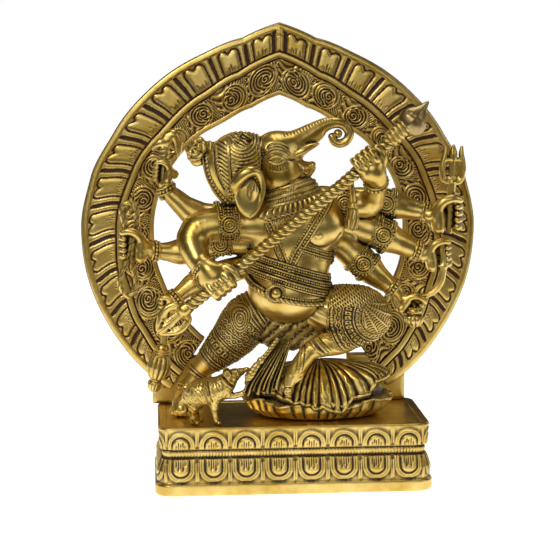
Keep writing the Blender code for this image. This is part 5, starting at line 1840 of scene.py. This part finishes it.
def seat():
    """A low ruffled cushion with a pleated cloth thrown over its near side."""
    middle = np.array((29.0, -4.0))
    turn = np.linspace(0, 2 * np.pi, 720, endpoint=False)[:, None]
    level = np.linspace(0, 1, 56)[None, :]
    stops = (0, 0.06, 0.3, 0.42, 0.5, 0.62, 0.8, 1.0)
    z = np.interp(level, stops, (57.6, 58.4, 65.0, 72.5, 75.0, 82, 92, 99))
    wide = np.interp(level, stops, (46, 51, 59.5, 62.5, 60.0, 56, 46, 4))
    phase = 34 * turn + 1.6 * np.sin(5 * turn + 1) + 0.9 * np.sin(13 * turn)
    ruffle = 2.0 * np.abs(np.sin(0.5 * phase)) ** 0.75 - 1.0
    swell = smooth(level / 0.14) * smooth((0.5 - level) / 0.07)
    lip = bell(level - 0.425, 0.028)
    sag = np.sin(7 * turn + 0.4) * 2.2 + np.sin(12 * turn) * 1.1
    radius = wide + 2.1 * ruffle * swell + 1.2 * lip - 3.0 * bell(level - 0.53, 0.03)
    height = z + sag * bell(level - 0.42, 0.10)
    rings = np.stack([middle[0] + radius * np.cos(turn), middle[1] + 0.585 * radius * np.sin(turn),
                      height], axis=-1)
    patina_and_shade_level = np.clip(0.15 - 0.9 * ruffle, 0, 0.9) * swell * (1 - lip) + 0.9 * bell(level - 0.55, 0.06)
    base = Shape()
    base.loops(rings.transpose(1, 0, 2), np.clip(patina_and_shade_level.T, 0, 1))

    near = np.linspace(0.02 * np.pi, -1.02 * np.pi, 560)[:, None]
    down = np.linspace(0, 1, 80)[None, :]
    number = 25 * near / np.pi + 0.55 * np.sin(3.1 * near) + 0.3 * np.sin(11 * near + 1)
    fold = 2.0 * np.abs(np.sin(np.pi * number)) ** 0.8 - 1.0
    tall = 1.25 + 0.6 * np.sin(2.3 * np.floor(number) + 1)
    edge = np.concatenate([middle[0] + 60.5 * np.cos(near), middle[1] + 37.5 * np.sin(near)], axis=1)
    hem = np.interp(edge[:, :1], *np.array(HEM, float).T)
    hub = np.array((30.0, -9.0, 106.0))
    out = np.sin(down * np.pi * 0.5) ** 0.85
    fall = (1 - np.cos(down * np.pi * 0.5)) ** 0.8
    sheet = np.stack([hub[0] + (edge[:, :1] - hub[0]) * out, hub[1] + (edge[:, 1:] - hub[1]) * out,
                      hub[2] + (hem - hub[2]) * fall], axis=-1)
    away = unit(np.stack(np.broadcast_arrays(np.cos(near) * 0.7, np.sin(near), 0.5 + 0 * down),
                         axis=-1))
    wrinkle = grain(number * 2.0, down * 9.0, size=0.8)
    lump = np.cos(9.5 * down + 2.2 * np.sin(2.1 * np.floor(number)))
    depth = ((0.35 + 0.65 * down) * (1.5 + 0.45 * lump) * tall * fold
             + 0.6 * wrinkle * smooth(down * 3))
    top = sheet + away * depth[..., None]
    inner = sheet[:, ::8][:, ::-1] - away[:, :1] * 3.5
    patina_and_shade_level = np.concatenate([np.clip(0.2 - 0.85 * fold - 0.25 * lump + 0.5 * wrinkle, 0, 0.95)
                           * smooth(down * 2 + 0.2),
                           np.full(inner.shape[:2], 0.9)], axis=1)
    base.loops(np.concatenate([top, inner], axis=1), patina_and_shade_level)
    border = sheet[:, -1] + away[:, -1] * (0.5 + 1.1 * tall * fold)
    rope(base, np.hstack([border, np.full((len(border), 1), 1.5)]), 1.5, sides=10, step=0.8)
    rope(base, np.hstack([border - (0, -0.8, 2.2), np.full((len(border), 1), 0.8)]), 0.8, sides=8,
         step=0.8, dirt=0.5)
    base.piece("seat_ruffled_cushion", "chased_brass", "seat_draped_cushion")


def sash():
    """The end of the sash, pleated like a fan beside the hanging foot, with its small tassel."""
    across = np.linspace(0, 1, 200)[:, None]
    down = np.linspace(0, 1, 90)[None, :]
    left = curve(((-6, -34, 128), (-14, -40, 118), (-24, -44, 106), (-33, -46, 94), (-37, -46, 84.5)), 0.5)
    right = curve(((4, -38, 128), (0, -42, 116), (-4, -45, 104), (-7, -47, 94), (-8, -47, 87)), 0.5)
    steps = np.linspace(0, 1, 90)

    def sampled(line):
        t = np.linspace(0, 1, len(line))
        return np.stack([np.interp(steps, t, line[:, k]) for k in range(3)], axis=-1)

    left, right = sampled(left)[None], sampled(right)[None]
    sheet = left + (right - left) * across[..., None]
    fold = 2 * np.abs(np.cos(across * np.pi * 7.5 + 0.3 * np.sin(9 * across))) ** 0.8 - 1
    fine = np.cos(across * 2 * np.pi * 19)
    sheet = sheet + np.array((0, -1.0, 0.25)) * ((0.6 + 1.9 * down) * fold + 0.35 * fine)[..., None]
    sheet[..., 2] += 2.2 * np.cos(across * 2 * np.pi * 3.25 + 0.8) * down ** 6
    back = sheet * 1.0
    back[..., 1] = np.maximum(back[..., 1] + 5.0, -40.0 + 0 * back[..., 1])
    rings = np.concatenate([sheet, back[:, ::-1]], axis=1)
    patina_and_shade_level = np.concatenate([np.clip(0.1 - 0.75 * fold, 0, 0.85) + 0 * down,
                           0.7 + 0 * fold + 0 * down], axis=1)
    pleats = Shape()
    pleats.loops(rings, np.clip(patina_and_shade_level, 0, 1))
    cord = curve(((-8, -40, 130, 1.8), (-17, -45, 119, 2.0), (-24, -48, 112, 2.4), (-29, -50, 106, 3.4),
                  (-33, -50, 100, 3.8), (-35, -49, 96.5, 1.5)), 1.0)
    rope(pleats, cord, 2, sides=16, twist=3.2, depth=0.4)
    for t in (0.5, 0.62):
        point = cord[int(t * len(cord))]
        beads(pleats, point[:3], 3.2)
    pleats.piece("sash_fan", "chased_brass", "sash_pleats")


def mouse():
    """The small attendant mouse, rearing its head, with a strap and a collar."""
    clay = Clay((-102, -48, 56.8), (-26, -16, 112), 0.42)
    clay.limb(((-79, -32, 79, 9.0), (-74, -33, 82.6, 11.6), (-66, -34, 84.6, 12.0),
               (-58, -35, 87, 10.6), (-52, -35.5, 91, 8.6)), 3)
    clay.limb(((-54, -35, 90, 7.6), (-48, -36, 96, 6.6), (-44.5, -36.5, 99, 5.4), (-39, -37, 101.6, 3.2),
               (-34, -37, 103.6, 1.7)), 2.5)
    clay.ball((-33.6, -37, 103.8), 1.9, 0.8)
    for side in (-1, 1):
        clay.ball((-50.4, -36 + side * 6, 100.4), (3.2, 1.8, 3.6), 0.8, turn=(0, -20, 0))
        clay.ball((-50.2, -36 + side * 7.8, 100.4), (1.8, 1.2, 2.2), 0.5, carve=True)
    clay.limb(((-77, -34, 78, 7), (-78.6, -35, 71, 4.4), (-79, -34, 65, 2.9), (-79, -34.4, 59.6, 2.7)), 2)
    clay.limb(((-78, -37, 59.2, 2.4), (-76, -39.4, 58.8, 2.1)), 1)
    clay.limb(((-75, -28, 78, 6), (-74, -27, 70, 4), (-72, -26, 59.8, 2.8)), 2)
    clay.limb(((-61, -38, 82, 6), (-61.4, -39, 74, 4.0), (-61, -38, 66, 2.9), (-59.6, -38, 59.8, 2.8)), 2)
    clay.limb(((-59.6, -39, 59.2, 2.6), (-57.6, -41, 58.8, 2.2)), 1)
    clay.limb(((-54, -38, 84, 4.6), (-46, -39, 81.8, 2.8), (-38, -39, 83.4, 2.4), (-34, -39, 86.4, 2.2)), 2)
    clay.limb(((-83, -31, 80, 4), (-86.4, -30, 75, 2.6), (-84, -29, 69, 2.3), (-88, -29, 65.6, 2.0),
               (-93.6, -28, 66.6, 1.2)), 1.5)
    clay.ball((-70, -33, 48), (60, 60, 9.4), 0.3, carve=True)
    marks = [([(-69.5, 94), (-68.6, 87), (-65.4, 78)], 0.8, 0.9),
             ([(-66.8, 95), (-66, 88), (-63, 78)], 0.7, -0.6),
             ([(-55.6, 97), (-51, 92.6), (-46, 88.4)], 1.1, 1.1),
             ([(-53.6, 98.4), (-49, 94.2), (-44.4, 90)], 0.6, -0.6),
             ([(-44.4, 101.8), (-43, 101.2)], 0.9, -0.6),
             ([(-43, 97), (-38.4, 99.6), (-34.6, 101.6)], 0.5, -0.5),
             ([(-36.6, 85), (-34.2, 84)], 0.4, -0.5), ([(-37.4, 83.4), (-35, 82.4)], 0.4, -0.5)]
    skin = Shape()

    def relief(points, normals):
        x, y, z = points.T
        hair = grain(1.5 * x + 1.1 * z, 1.2 * y, 0.35 * (z - x), size=1.3)
        return strokes(points, normals, marks) + 0.32 * hair * smooth((z - 64) / 6)

    skin.add(*clay.skin(relief))
    skin.piece("mouse_cast", "bright_brass", "mouse")


PLAIN_NODES = {"pedestal_casting": "pedestal_brass", "aureole_casting": "aureole_brass"}
for name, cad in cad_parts.items():
    steel = name.endswith(("bolt", "washer")) or "_bolt_" in name or "_washer_" in name
    cad.data.materials.clear()
    cad.data.materials.append(LOOKS["fixing_steel" if steel
                                    else PLAIN_NODES.get(name, "figure_brass")])

studio()
aureole()
pedestal()
bare_torso = torso()
body_jewels(bare_torso)
collar()
hips()
standing_leg()
bent_leg()
head()
ears()
headdress()
arms()
spear()
weapons()
seat()
sash()
mouse()
settle_patina_and_shade()
